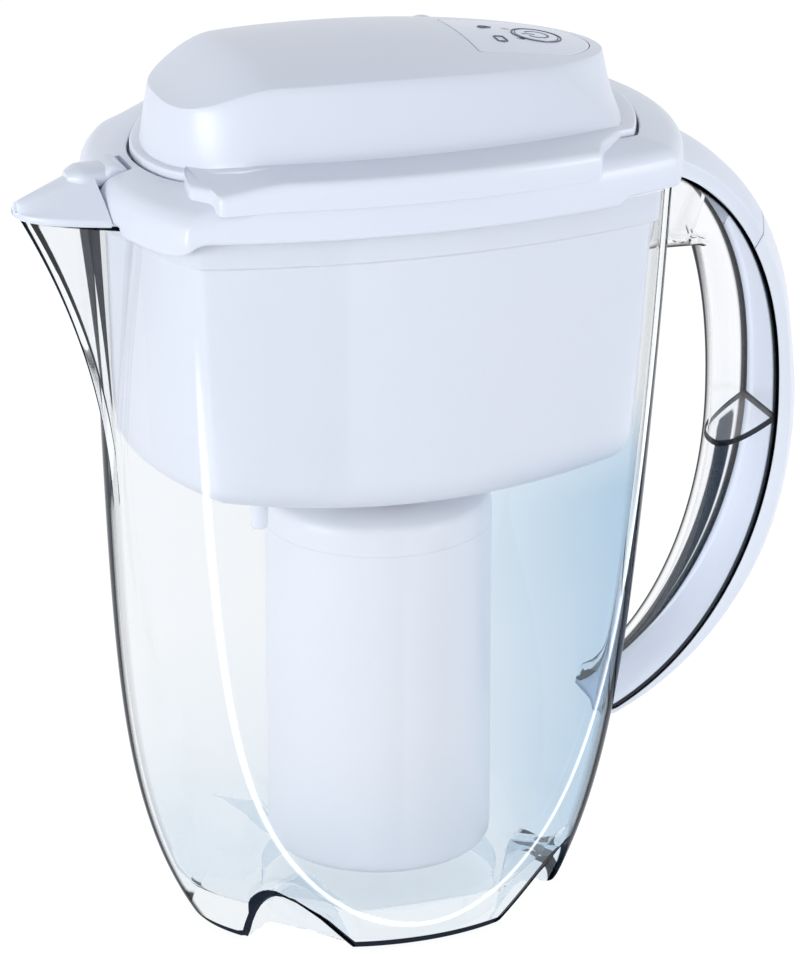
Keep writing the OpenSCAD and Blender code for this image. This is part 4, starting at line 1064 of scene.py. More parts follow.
@dataclass
class Flap:
    """White flap over the spout, with its hinge barrel."""

    gap: float = 0.5
    wall: float = 1.6
    half_w: float = 19.5
    ridge: float = 6.5
    tip_z: float = 5.5
    overhang: float = 0.8
    pin_r: float = 1.05
    arm_h: float = 3.1

    def section(self, u: Array, inset: float) -> Array:
        """Sections of the flap at shares u of its length, from the tip to the collar.

        The half width at the lip is 0.93 half_w sqrt(u) + 1.2, the ridges stand 1 + ridge sqrt(u)
        off the middle, and the roof climbs in a straight line.

        Args:
            u: Shares, shape (rows, 1).
            inset: Distance inside the outer face.

        Returns:
            Points, shape (rows, 13, 3).
        """
        b = np.maximum(0.4, self.half_w * np.sqrt(u) * 0.93 + 1.2 - inset)
        r = np.maximum(0.2, 1 + self.ridge * np.sqrt(u) - inset)
        top = PLAN.lip + self.tip_z + (COLLAR.hinge_z + 3 - PLAN.lip - self.tip_z) * u - inset
        low = np.full_like(u, PLAN.lip + 0.3)
        m = b + (r - b) * 0.45
        side = low + (top - 2.4 - low) * 0.62
        half_y = [b - 0.4, b, b - 0.2, m, r, 0.6 * r]
        half_z = [low, low + 0.9, low + 2, side, top - 2.2, top - 0.7]
        y = np.concatenate([-v for v in half_y] + [np.zeros_like(u)] + half_y[::-1], 1)
        z = np.concatenate(half_z + [top] + half_z[::-1], 1)
        tip = -(PLAN.half_len(PLAN.lip, -1) + PLAN.nose_len + self.overhang)
        return np.stack([tip + (self.rear(y) - tip) * u, y, z], -1)

    def rear(self, y: Array) -> Array:
        """X of the flap's rear edge, a gap in front of the collar."""
        return PLAN.wall_x(y, PLAN.rim, -1) - COLLAR_OUT - self.gap

    def body(self) -> Part:
        """Hollow flap, barrel and arm."""
        u = np.linspace(0, 1, 44)[:, None] ** 1.4
        outer, inner = self.section(u, 0.0), self.section(0.1 + 0.9 * u, self.wall)
        tip = outer[:1].mean(1, keepdims=True)
        for size, way in ((0.96, 0.35), (0.8, 0.8), (0.45, 1.2)):
            row = tip + (self.section(u[:1], 0.0) - tip) * size - [way, 0, 0]
            outer = np.concatenate([row, outer])
            inner = np.concatenate([inner[:1], inner])
        rings = np.concatenate([outer, inner[:, ::-1]], 1)
        radii = [0.0, 0.5, 0.6, 2.0, 1.6, 1.2, 1.5, 1.2, 1.6, 2.0, 0.6, 0.5, 0.0]
        rings = rounded_columns(rings, radii + radii)
        part = Part("spout_flap_body").add(rings, Ends.STRIPS, turned=True)
        part.add(self.barrel(), Ends.LOOP)
        return part.add(self.arm())

    def barrel(self) -> Array:
        """Hinge barrel: a short tube along y with well rounded ends."""
        half, radius, turn = COLLAR.barrel_half, COLLAR.barrel_r, 1.6
        profile = [(self.pin_r, 0), (radius, 0), (radius, 2 * half), (self.pin_r, 2 * half)]
        rings = lathe(profile, [0, turn, turn, 0], 64)
        return rings[..., ALONG_Y] + [COLLAR.hinge_x, -half, COLLAR.hinge_z]

    def arm(self) -> Array:
        """Arm from the roof to the barrel: flat ovals that close to a rounded end in the flap."""
        start = self.rear(0.0) - 7
        x = np.linspace(start, COLLAR.hinge_x - 1, 14)[:, None]
        f = np.linspace(0, 2 * np.pi, 48, endpoint=False)[None]
        size = np.sqrt(ramp(start - 2, start + 5, x))
        y = COLLAR.barrel_half * size * signed_power(np.cos(f), 0.6)
        z = COLLAR.hinge_z + 0.2 + self.arm_h * size * signed_power(np.sin(f), 0.9)
        return np.stack([np.broadcast_to(x, y.shape), y, z], -1)


COLLAR = Collar()


@dataclass
class Lid:
    """Lid: domed cover, flange with two side wings, control panel and power button."""

    dome_off: float = -14.4
    top_x: float = -8.0
    top_spout: float = 61.0
    top_handle: float = 79.0
    top_half: float = 36.0
    crown: float = 4.0
    edge_z: float = FLANGE_TOP + 20.5
    wall: float = 2.0
    panel_x: float = 26.0
    panel_w: float = 38.0
    button_x: float = 51.0
    button_r: float = 6.5
    lights: tuple[tuple[float, float], ...] = ((43.0, 6.0), (44.0, -5.5))
    light_r: float = 1.35
    roof_power: float = 2.4
    wing_out: float = 4.7
    wing_stop: float = 49.0
    wing_start: tuple[float, float] = (-67.4, -54.0)
    wing_drop: float = 8.5

    def foot(self, inset: float) -> Array:
        """Plan of the cover's foot, drawn in by up to 2 mm towards the handle."""
        p = PLAN.lid(self.dome_off - inset)
        shift = 2 * np.maximum(0, p[..., 0] / PLAN.handle_len)
        return p - np.stack([shift, np.zeros_like(shift)], -1)

    def egg(self, inset: float) -> Array:
        """Plan of the cover's top edge: an egg |x/a|^n + |y/b|^n = 1, longer to the handle."""
        p = self.foot(inset) - [self.top_x, 0]
        spout = p[..., 0] < 0
        n = np.where(spout, 3.0, 2.1)
        a = np.where(spout, self.top_spout, self.top_handle) - inset
        q = (np.abs(p[..., 0]) / a) ** n + (np.abs(p[..., 1]) / (self.top_half - inset)) ** n
        return p * np.minimum(0.99, q ** (-1 / n))[..., None] + [self.top_x, 0]

    def edge_height(self, x: Array) -> Array:
        """Height of the top edge: a flat parabola, with a hood that drops at the spout end."""
        return self.edge_z - 0.00055 * (x + 26) ** 2 - 8 * ramp(-42, -72, x)

    def side_ring(self, t: float, inset: float, drop: float = 0.0) -> Array:
        """Ring of the cover's side at share t between its foot and its top edge."""
        foot, egg = self.foot(inset), self.egg(inset)
        q = foot + (egg - foot) * t
        h = min(1.0, 1.12 * t - 0.12 * t**8)
        low, high = FLANGE_TOP - PLAN.dip(q[..., 0]), self.edge_height(q[..., 0])
        return PLAN.rise(q, low + (high - low) * h - drop * t)

    def roof_ring(self, k: float, inset: float, drop: float = 0.0) -> Array:
        """Ring of the roof at share k of its plan: the edge's height plus crown (1 - k^p)."""
        q = (self.egg(inset) - [self.top_x, 0]) * k + [self.top_x, 0]
        over = self.crown * (1 - k**self.roof_power)
        return PLAN.rise(q, self.edge_height(q[..., 0]) + over - drop)

    def roof_z(self, p: Array) -> Array:
        """Height of the roof over points of the plan, read from the egg in their direction."""
        egg = self.egg(0.0)[0] - [self.top_x, 0]
        q = p - [self.top_x, 0]
        around = np.interp(np.arctan2(q[..., 1], q[..., 0]), *self.polar(egg))
        k = np.linalg.norm(q, axis=-1) / around
        return self.edge_height(p[..., 0]) + self.crown * (1 - np.minimum(1.2, k) ** self.roof_power)

    @staticmethod
    def polar(outline: Array) -> tuple[Array, Array]:
        """Angles and radii of an outline round the origin, sorted and carried past both ends."""
        angle = np.arctan2(outline[:, 1], outline[:, 0])
        radius = np.linalg.norm(outline, axis=1)
        order = np.argsort(angle)
        angle, radius = angle[order], radius[order]
        return (np.concatenate([angle[-3:] - 2 * np.pi, angle, angle[:3] + 2 * np.pi]),
                np.concatenate([radius[-3:], radius, radius[:3]]))

    def cover(self) -> Part:
        """Cover as one closed shell, from the roof's underside round the foot to the roof."""
        shares = np.concatenate([np.linspace(0, 0.86, 20), [0.93, 0.97]])
        roof = np.concatenate([[1, 0.975], np.linspace(0.94, 0.06, 26)])
        rows = [(self.roof_ring(k, self.wall, self.wall), 0.0) for k in roof[::-2]]
        rows += [(self.side_ring(t, self.wall, self.wall), 0.0) for t in shares[::-2]]
        foot = self.side_ring(0, 0.0) - [0, 0, 0.35]
        rows += [(self.side_ring(0, self.wall), 0.2), (foot + [0, 0, 0.05], 0.25)]
        rows += [(self.side_ring(t, 0.0), 0.0) for t in shares[1:]]
        rows += [(self.roof_ring(k, 0.0), 2.2 if k == 1 else 0.0) for k in roof]
        return Part("lid_cover_body").add(loft(rows, 6))

    def panel_outline(self, grow: float) -> Array:
        """Outline of the control panel: the egg's handle end, cut by a chord and two sides.

        Args:
            grow: How far it is grown all round.

        Returns:
            Points, shape (1, 160, 2).
        """
        middle = self.panel_x + 20
        a = np.linspace(-np.pi, np.pi, 160, endpoint=False)
        c, s = np.cos(a), np.sin(a)
        egg = self.egg(4 - grow)[0] - [middle, 0]
        radius = np.interp(a, *self.polar(egg))
        side = (self.panel_w / 2 + grow) / np.maximum(np.abs(s), TINY)
        chord = np.where(c < 0, (middle - self.panel_x + grow) / np.maximum(-c, TINY), 1 / TINY)
        radius = soft_min(soft_min(radius, side, 1.5), chord, 1.5)
        return np.stack([middle + radius * c, radius * s], -1)[None]

    def on_roof(self, outline: Array, low: float, high: float, turn: float) -> Array:
        """Slab that follows the roof over an outline, as rings from pole to pole.

        Args:
            outline: Its plan, shape (1, columns, 2).
            low: Height of its underside above the roof.
            high: Height of its top above the roof.
            turn: Rounding of its top edge.

        Returns:
            Rows of points.
        """
        middle = outline.mean(1, keepdims=True)
        steps = [(k, low, 0.0) for k in (0.1, 0.5, 0.9, 1)] + [(1, high, turn)]
        steps += [(k, high, 0.0) for k in (0.96, 0.8, 0.6, 0.4, 0.2, 0.05)]
        rows = []
        for k, lift, radius in steps:
            p = middle + (outline - middle) * k
            rows.append((PLAN.rise(p, self.roof_z(p) + lift), radius))
        return loft(rows)

    def disc(self, x: float, y: float, radius: float, columns: int = 72) -> Array:
        """Outline of a round piece of the panel."""
        a = np.linspace(0, 2 * np.pi, columns, endpoint=False)
        return np.stack([x + radius * np.cos(a), y + radius * np.sin(a)], -1)[None]

    def holes(self) -> Part:
        """What the button and the two light windows need cut out of the panel and the cover."""
        button = self.disc(self.button_x, 0, self.button_r + 0.3)
        part = Part("holes").add(self.on_roof(button, -6, 6, 0))
        for x, y in self.lights:
            part.add(self.on_roof(self.disc(x, y, self.light_r, 24), -6, 6, 0))
        return part

    def base(self) -> Part:
        """Flange, pump tray and both wings."""
        off, plug = -11.4, -16.7
        tray, flange = COLLAR_TOP - 13, COLLAR_TOP - 1

        def ring(z: float, way: float, share: float = 1.0) -> Array:
            """Ring of the lid's plan at height z that dips by share."""
            p = PLAN.lid(way)
            return PLAN.rise(p, z - share * PLAN.dip(p[..., 0]))

        rows = [(ring(tray, plug, 0), 0.8), (ring(flange, plug), 0.4), (ring(flange, off), 0.3),
                (ring(FLANGE_TOP, off), 0.9), (ring(FLANGE_TOP, self.dome_off), 0),
                (ring(FLANGE_TOP, self.dome_off - 2), 0), (ring(FLANGE_TOP, plug - 2), 0.3),
                (ring(tray + 2, plug - 2, 0), 0.8)]
        part = Part("lid_base_body")
        part.add(loft(rows))
        for side in (-1, 1):
            part.add(self.wing(side), Ends.STRIPS, turned=side > 0)
        return part

    def wing(self, side: int) -> Array:
        """Side wing: a plate with a skirt, carried along its outer edge.

        The edge runs along the panel, wing_out outside the wall, and slants in at either end. The
        plate dips by up to 4.6 mm towards the spout to meet the flange. The far wing is shorter.

        Args:
            side: 1 for the back, and -1 for the front.

        Returns:
            Rows of points along the edge.
        """
        stop, start = self.wing_stop, self.wing_start[(side + 1) // 2]
        x = np.linspace(start + 2, stop, 70)
        edge = np.stack([x, PLAN.panel_half + self.wing_out - PLAN.bow * x * x], -1)
        first = [[start - 2.5, 31.0], [start - 3.9, 41.0], [start + 0.6, 50.0], [start + 0.6, 56.0]]
        last = [[stop + 4, 52.5], [stop + 16, 39.5], [stop + 16, 31]]
        radii = [0.0, 1.5, 1.5, 1.2, 0.8, *[0.0] * (len(edge) - 2), 1.6, 2.0, 2.5, 0.0]
        path = rounded(np.concatenate([first, edge, last])[:, None], radii, 5)[:, 0]
        way = unit(np.gradient(path, axis=0))
        inward = np.stack([way[:, 1], -way[:, 0]], -1)
        root = self.wing_root(path)
        dip = 4.6 * (1 - ramp(-75, -45, path[:, :1]))
        top, low = FLANGE_TOP + 0.06 - dip, FLANGE_TOP - self.wing_drop - 0.3 * dip
        plate = COLLAR_TOP + 0.4 - dip
        skirt = path + 1.3 * inward
        steps = [(root, top), (path, top), (path, low), (skirt, low), (skirt, plate), (root, plate)]
        rings = np.stack([np.concatenate([p, z], 1) for p, z in steps], 1)
        rings = rounded_columns(rings, [0, 2.8, 0.35, 0.35, 1.8, 0], 5)
        return rings * [1, side, 1]

    def wing_root(self, path: Array) -> Array:
        """Inner edge of a wing's plate: the dome's foot, at least 2 mm inside the outer edge."""
        foot = PLAN.lid(self.dome_off - 1.0)[0]
        foot = foot[foot[:, 1] > 20]
        foot = foot[np.argsort(foot[:, 0])]
        x = np.clip(path[:, 0], foot[:, 0].min() + 0.5, foot[:, 0].max() - 0.5)
        return np.stack([x, np.minimum(path[:, 1] - 2, np.interp(x, foot[:, 0], foot[:, 1]))], -1)


@dataclass
class Cartridge:
    """White filter cartridge: body and bayonet cap with its neck."""

    radius: float = 35.5
    bottom: float = 20.0
    height: float = 118.0
    neck_r: float = 18.0
    outlet_r: float = 22.1
    wall: float = 2.0

    def body(self) -> Part:
        """Body: a cup with a rounded foot, open where the outlet cap sits."""
        r, z, t = self.radius, self.bottom, self.wall
        top = z + self.height - 10.3
        rows = [(self.outlet_r, z), (r, z), (r, top), (r - t, top), (r - t, z + t), (self.outlet_r, z + t)]
        return Part("cartridge_body").add(lathe(rows, [0.2, 4, 0.03, 0.2, 2, 0.2]), Ends.LOOP)

    def cap(self) -> Part:
        """Cap and neck; its shoulder is well rounded."""
        r, n, t = self.radius, self.neck_r, self.wall
        top, neck = self.bottom + self.height, HOPPER_Z + 16.2
        z = top - 10.25
        rows = [(r - t, z), (r, z), (r, top - 2.2), (r - 3, top), (n + 4, top + 2.4), (n, top + 3),
                (n, neck), (n - t, neck), (n - t, top + 0.4), (r - 4.6, top - 2.2), (r - t, top - 5)]
        radii = [0.2, 0.03, 3, 3, 2, 1.2, 0.8, 0.4, 1, 1, 1]
        return Part("cartridge_neck").add(lathe(rows, radii), Ends.LOOP)


# ---------------------------------------------------------------- finishes

Colour = tuple[float, float, float]


class Slot(Enum):
    """Material slots of the record. Each new piece is given one, which isn't used."""

    CLEAR = "clear_body"
    WHITE = "white_body"
    PANEL = "panel"


class Tree:
    """Adds nodes to one node tree and links them."""

    def __init__(self, tree: bpy.types.NodeTree) -> None:
        """Empties the tree."""
        self.tree = tree
        tree.nodes.clear()

    def add(self, kind: str, values: dict[str | int, object] | None = None,
            **settings: object) -> bpy.types.Node:
        """Adds a node.

        Args:
            kind: Its type without ShaderNode.
            values: What its inputs are set to, or the sockets that feed them.
            **settings: Its own properties.

        Returns:
            The node.
        """
        node = self.tree.nodes.new("ShaderNode" + kind)
        for name, setting in settings.items():
            setattr(node, name, setting)
        for name, value in (values or {}).items():
            if isinstance(value, bpy.types.NodeSocket):
                self.tree.links.new(value, node.inputs[name])
            else:
                node.inputs[name].default_value = value
        return node

    def maths(self, operation: str, *values: float | Socket) -> Socket:
        """Adds a Math node and gives its output."""
        return self.add("Math", dict(enumerate(values)), operation=operation).outputs[0]

    def ramp(self, value: Socket, stops: Sequence[tuple[float, Colour]]) -> Socket:
        """Adds a Color Ramp over a value and gives its colour."""
        node = self.add("ValToRGB", {"Fac": value})
        band = node.color_ramp.elements
        for k, (place, colour) in enumerate(stops):
            stop = band[k] if k < 2 else band.new(place)
            stop.position = place
            stop.color = (*colour, 1)
        return node.outputs["Color"]

    def mix(self, share: float | Socket, first: Socket | Colour, second: Socket | Colour) -> Socket:
        """Mixes two colours and gives the result."""
        def full(colour: Socket | Colour) -> Socket | tuple[float, ...]:
            """Gives a plain colour its alpha."""
            return (*colour, 1) if isinstance(colour, tuple) else colour
        node = self.add("Mix", {0: share, 6: full(first), 7: full(second)}, data_type="RGBA")
        return node.outputs[2]

    def link(self, socket: Socket, target: Socket) -> None:
        """Links an output to an input."""
        self.tree.links.new(socket, target)

    def mask(self, name: str) -> Socket:
        """Adds one of the piece's own masks."""
        return self.add("Attribute", attribute_name=name, attribute_type="GEOMETRY").outputs["Fac"]

    def span(self, value: Socket, start: float, stop: float, low: float = 0, high: float = 1) -> Socket:
        """Maps start..stop to low..high and stays there beyond them."""
        return self.add("MapRange", {"Value": value, "From Min": start, "From Max": stop,
                                     "To Min": low, "To Max": high}).outputs[0]

    def bump(self, height: Socket, strength: float, distance: float) -> Socket:
        """Adds a bump and gives its normal."""
        return self.add("Bump", {"Height": height, "Strength": strength, "Distance": distance}).outputs[0]

    def blend(self, share: float | Socket, first: bpy.types.Node, second: bpy.types.Node) -> bpy.types.Node:
        """Mixes the shaders of two nodes."""
        return self.add("MixShader", {0: share, 1: first.outputs[0], 2: second.outputs[0]})

    def noise(self, place: Socket, scale: float | Socket, detail: float = 3) -> Socket:
        """Adds a noise over a place and gives its value."""
        return self.add("TexNoise", {"Vector": place, "Scale": scale, "Detail": detail}).outputs["Fac"]


def group_tree(name: str, inputs: Sequence[tuple[str, str]],
               outputs: Sequence[tuple[str, str]]) -> Tree:
    """Makes an empty node group.

    Args:
        name: Its name.
        inputs: Label and kind of each input.
        outputs: Label and kind of each output.

    Returns:
        Its nodes.
    """
    group = bpy.data.node_groups.new(name, "ShaderNodeTree")
    tree = Tree(group)
    for way, sockets in (("INPUT", inputs), ("OUTPUT", outputs)):
        for label, kind in sockets:
            group.interface.new_socket(label, in_out=way, socket_type="NodeSocket" + kind)
    return tree


def moulded_group() -> bpy.types.NodeTree:
    """Node group of a moulded surface: tone, roughness, fine grain and lighter edges.

    The tone drifts in soft patches, the roughness follows finer ones, the height is orange peel
    with a few long flow marks, and the edge mask that is fed in, broken up by the finer patches,
    lightens the edges towards the edge colour, as rubbing does and as a painted highlight.

    Returns:
        The group, built once.
    """
    name = "MouldedSurface"
    if name in bpy.data.node_groups:
        return bpy.data.node_groups[name]
    t = group_tree(name, (("Colour", "Color"), ("Shade", "Color"), ("Patches", "Float"),
                          ("Grain", "Float"), ("Roughness", "Float"), ("Spread", "Float"),
                          ("Edge Colour", "Color"), ("Edge", "Float"), ("Wear", "Float")),
                   (("Colour", "Color"), ("Roughness", "Float"), ("Height", "Float"), ("Wear", "Float")))
    put = t.tree.nodes.new("NodeGroupInput").outputs
    out = t.tree.nodes.new("NodeGroupOutput").inputs
    place = t.add("TexCoord").outputs["Object"]
    patch = t.span(t.noise(place, put["Patches"], 1), 0.25, 0.75)
    fine = t.noise(place, t.maths("MULTIPLY", put["Patches"], 6.0), 3)
    # edges lighten towards the edge colour: rubbing, and a painted highlight
    wear = t.maths("MULTIPLY", put["Wear"], t.maths("MULTIPLY_ADD", fine, 0.8, 0.45))
    wear = t.maths("MULTIPLY", wear, put["Edge"])
    t.link(t.mix(wear, t.mix(patch, put["Colour"], put["Shade"]), put["Edge Colour"]), out["Colour"])
    swing = t.maths("MULTIPLY", t.maths("SUBTRACT", fine, 0.5), put["Spread"])
    swing = t.maths("MULTIPLY_ADD", wear, -0.06, swing)
    t.link(t.maths("ADD", put["Roughness"], swing), out["Roughness"])
    long = t.add("Mapping", {"Vector": place, "Scale": (60, 60, 9)}).outputs[0]
    flow = t.maths("MULTIPLY", t.noise(long, 1.0, 1), 0.5)
    t.link(t.maths("ADD", t.noise(place, put["Grain"], 2), flow), out["Height"])
    t.link(wear, out["Wear"])
    return t.tree


def edge_group() -> bpy.types.NodeTree:
    """Node group that finds a solid's edges: how far a rounded normal leans from the true one.

    Returns:
        The group, built once.
    """
    name = "RoundedEdge"
    if name in bpy.data.node_groups:
        return bpy.data.node_groups[name]
    t = group_tree(name, (("Radius", "Float"),), (("Wear", "Float"),))
    radius = t.tree.nodes.new("NodeGroupInput").outputs["Radius"]
    lean = t.add("VectorMath", {0: t.add("Bevel", {"Radius": radius}, samples=4).outputs[0],
                                1: t.add("NewGeometry").outputs["Normal"]}, operation="DOT_PRODUCT")
    lean = t.maths("SUBTRACT", 1.0, lean.outputs["Value"])
    t.link(t.span(lean, 0.04, 0.28), t.tree.nodes.new("NodeGroupOutput").inputs["Wear"])
    return t.tree


@dataclass(frozen=True)
class Finish:
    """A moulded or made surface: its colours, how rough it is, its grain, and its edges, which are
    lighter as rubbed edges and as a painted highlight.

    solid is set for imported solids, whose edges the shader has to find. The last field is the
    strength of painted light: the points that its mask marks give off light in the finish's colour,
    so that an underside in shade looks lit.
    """

    name: str
    colour: Colour
    shade: Colour
    edge: Colour = (1.0, 1.0, 1.0)
    wear: float = 0.35
    patches: float = 14.0
    grain: float = 1400.0
    bump: float = 0.05
    depth: float = 0.0003
    roughness: float = 0.3
    spread: float = 0.05
    metallic: float = 0.0
    coat: float = 0.0
    ior: float = 1.5
    solid: bool = False
    painted_light_strength: float = 0.0

    def surface(self, t: Tree) -> bpy.types.Node:
        """Adds the shared group and a Principled BSDF that is fed by it.

        Args:
            t: The material's nodes.

        Returns:
            The shader's node.
        """
        group = t.tree.nodes.new("ShaderNodeGroup")
        group.node_tree = moulded_group()
        # the edge colour is partly rubbing and partly a painted highlight
        values = {"Colour": (*self.colour, 1), "Shade": (*self.shade, 1), "Patches": self.patches,
                  "Grain": self.grain, "Roughness": self.roughness, "Spread": self.spread,
                  "Edge Colour": (*self.edge, 1), "Edge": self.wear}
        for label, value in values.items():
            group.inputs[label].default_value = value
        if self.solid:
            edges = t.tree.nodes.new("ShaderNodeGroup")
            edges.node_tree = edge_group()
            edges.inputs["Radius"].default_value = 0.6 * MM
            edge_share = edges.outputs["Wear"]
        else:
            edge_share = t.mask("wear")
        t.link(edge_share, group.inputs["Wear"])
        shader = t.add("BsdfPrincipled", {
            "Base Color": group.outputs["Colour"], "IOR": self.ior, "Metallic": self.metallic,
            "Roughness": group.outputs["Roughness"], "Coat Weight": self.coat, "Coat Roughness": 0.12,
            "Normal": t.bump(group.outputs["Height"], self.bump, self.depth)})
        # painted light: the marked points give off light in the finish's colour, where shade falls
        if self.painted_light_strength:
            glow = t.mix(t.mask("glow"), (0.0, 0.0, 0.0), self.colour)
            t.link(glow, shader.inputs["Emission Color"])
            shader.inputs["Emission Strength"].default_value = self.painted_light_strength
        return shader

    def material(self) -> bpy.types.Material:
        """Makes the material, once."""
        if self.name in bpy.data.materials:
            return bpy.data.materials[self.name]
        material = bpy.data.materials.new(self.name)
        material.use_nodes = True
        self.build(Tree(material.node_tree))
        return material

    def build(self, t: Tree) -> None:
        """Links the shader to the output."""
        t.add("OutputMaterial", {"Surface": self.surface(t).outputs[0]})


@dataclass(frozen=True)
class Clear(Finish):
    """Clear plastic: pale where it is looked through, with navy painted shade where it is seen edge on.

    turn holds the facing at which the painted shade starts, is half dark and is navy.
    """

    wear: float = 0.0
    patches: float = 10.0
    grain: float = 60.0
    bump: float = 0.02
    depth: float = 0.0004
    roughness: float = 0.0
    spread: float = 0.03
    ior: float = 1.025
    # colours of painted shade and a painted highlight: navy edges, bluish shade, the crease highlight
    navy: Colour = (0.0003, 0.0006, 0.0015)
    shade_blue: Colour = (0.63, 0.75, 0.85)
    turn: tuple[float, float, float] = (0.74, 0.785, 0.82)
    shine: float = 0.75
    painted_highlight: Colour = (0.95, 0.98, 1.0)
    shadow: Colour = (0.955, 0.97, 0.985)

    def tone(self, t: Tree, place: Socket, facing: Socket) -> Socket:
        """Tint of the plastic with painted shade: bluer towards the handle and the foot, navy at its edges.

        Args:
            t: The material's nodes.
            place: The place on the piece.
            facing: 0 where it faces the eye, and 1 where it is seen edge on.

        Returns:
            The colour.
        """
        axes = t.add("SeparateXYZ", {0: place}).outputs
        # painted shade: bluer towards the handle end and the foot
        end = t.span(axes["X"], -0.005, 0.06)
        low = t.span(axes["Z"], 0.075, 0.01)
        high = t.span(axes["Z"], 0.166, 0.148)
        share = t.maths("MAXIMUM", t.maths("MULTIPLY", end, high), t.maths("MULTIPLY", low, 0.38))
        share = t.maths("MULTIPLY", share, t.maths("MULTIPLY_ADD", t.noise(place, 18.0, 1), 0.5, 0.75))
        tone = t.mix(t.noise(place, self.patches, 2), self.colour, self.shade)
        tone = t.mix(share, tone, self.shade_blue)
        start, middle, stop = self.turn
        half = tuple(0.25 + 0.5 * b for b in self.navy)
        # painted shade: navy where the plastic is seen edge on, less inside its walls
        edge = t.ramp(facing, [(start, (1.0, 1.0, 1.0)), (stop, self.navy), (middle, half)])
        values = {0: t.maths("SUBTRACT", 1.0, t.mask("inner")), 6: tone, 7: edge}
        tone = t.add("Mix", values, data_type="RGBA", blend_type="MULTIPLY").outputs[2]
        # painted shade: the marked dark edges go navy
        return t.mix(self.line(t), tone, self.navy)

    @staticmethod
    def line(t: Tree) -> Socket:
        """The piece's own mask of painted dark edges, made crisp."""
        return t.span(t.mask("line"), 0.45, 0.7)

    def build(self, t: Tree) -> None:
        """Tints it, paints dark edges and a highlight on its marked creases, and lets shadow rays through.
        """
        place = t.add("TexCoord").outputs["Object"]
        facing = t.add("LayerWeight", {"Blend": 0.5}).outputs["Facing"]
        coat = t.span(facing, 0.5, 0.8, self.shine, 0.0)
        coat = t.maths("MULTIPLY", coat, t.maths("SUBTRACT", 1.0, self.line(t)))
        rough = t.maths("MULTIPLY_ADD", t.noise(place, 60.0, 3), self.spread, self.roughness)
        shader = t.add("BsdfPrincipled", {
            "Base Color": self.tone(t, place, facing), "Roughness": rough, "IOR": self.ior,
            "Transmission Weight": 1.0, "Coat Weight": coat, "Coat Roughness": 0.03,
            # painted highlight: the marked creases give off light in a pale colour
            "Emission Color": t.mix(t.mask("glow"), (0.0, 0.0, 0.0), self.painted_highlight),
            "Emission Strength": 0.8,
            "Normal": t.bump(t.noise(place, self.grain, 1), self.bump, self.depth)})
        through = t.add("BsdfTransparent", {"Color": (*self.shadow, 1)})
        both = t.blend(t.add("LightPath").outputs["Is Shadow Ray"], shader, through)
        t.add("OutputMaterial", {"Surface": both.outputs[0]})


CLEAR = Clear("clear_plastic", (0.945, 0.957, 0.966), (0.935, 0.952, 0.964))
CLEAR_HANDLE = Clear("clear_handle_plastic", (0.985, 0.985, 0.99), (0.975, 0.98, 0.99),
                     shade_blue=(0.97, 0.975, 0.985), turn=(0.62, 0.69, 0.75))
WHITE = Finish("white_plastic", (0.715, 0.757, 0.842), (0.703, 0.748, 0.837), edge=(0.88, 0.91, 0.95),
               roughness=0.3, grain=700, bump=0.02)
# the handle strip: a lighter copy of the white plastic, with painted light on its underside in shade
WHITE_PAINTED_LIGHT = replace(WHITE, name="white_plastic_painted_light", colour=(0.76, 0.795, 0.87),
                     shade=(0.75, 0.787, 0.865), painted_light_strength=0.42)
INNER = replace(WHITE, name="inner_white_plastic", colour=(0.79, 0.805, 0.865),
                shade=(0.778, 0.795, 0.86), edge=(0.90, 0.91, 0.95), roughness=0.34)
FILTER = replace(WHITE, name="filter_white_plastic", colour=(0.82, 0.825, 0.86),
                 shade=(0.80, 0.81, 0.85), edge=(0.9, 0.91, 0.94), roughness=0.32, patches=20)
PANEL = Finish("panel_plastic", (0.75, 0.80, 0.90), (0.73, 0.785, 0.89), edge=(0.86, 0.9, 0.96),
               roughness=0.2, grain=2400, bump=0.03)
INK = Finish("grey_ink", (0.075, 0.095, 0.15), (0.10, 0.12, 0.18), edge=(0.2, 0.22, 0.3), wear=0.2,
             patches=300, grain=4000, roughness=0.45)
WINDOW = Finish("light_window", (0.09, 0.11, 0.17), (0.07, 0.09, 0.14), edge=(0.3, 0.33, 0.4),
                roughness=0.16, coat=0.6, patches=200, solid=True)
SEAL = Finish("grey_seal", (0.30, 0.32, 0.36), (0.25, 0.27, 0.31), edge=(0.42, 0.44, 0.48),
              roughness=0.62, patches=60, grain=3000, bump=0.2, solid=True)
RUBBER = Finish("dark_rubber", (0.035, 0.037, 0.042), (0.05, 0.052, 0.058), edge=(0.12, 0.12, 0.13),
                roughness=0.7, patches=80, grain=3000, bump=0.3, solid=True)
STEEL = Finish("steel", (0.62, 0.63, 0.65), (0.55, 0.56, 0.59), edge=(0.8, 0.8, 0.82), roughness=0.3,
               metallic=1.0, patches=90, grain=5000, bump=0.12, solid=True)
CARBON = Finish("carbon", (0.016, 0.016, 0.017), (0.04, 0.04, 0.043), edge=(0.09, 0.09, 0.09),
                roughness=0.85, patches=500, grain=1500, bump=0.9, depth=0.0008, solid=True)
FIBRE = Finish("membrane_fibre", (0.80, 0.79, 0.72), (0.68, 0.67, 0.60), edge=(0.9, 0.9, 0.86),
               roughness=0.6, patches=400, grain=2600, bump=0.6, depth=0.0005, solid=True)
BOARD = Finish("circuit_board", (0.02, 0.11, 0.05), (0.03, 0.15, 0.07), edge=(0.3, 0.34, 0.2),
               roughness=0.35, patches=400, grain=2500, bump=0.2, solid=True)
DARK = Finish("dark_plastic", (0.045, 0.05, 0.058), (0.06, 0.065, 0.075), edge=(0.15, 0.16, 0.18),
              roughness=0.42, patches=60, solid=True)
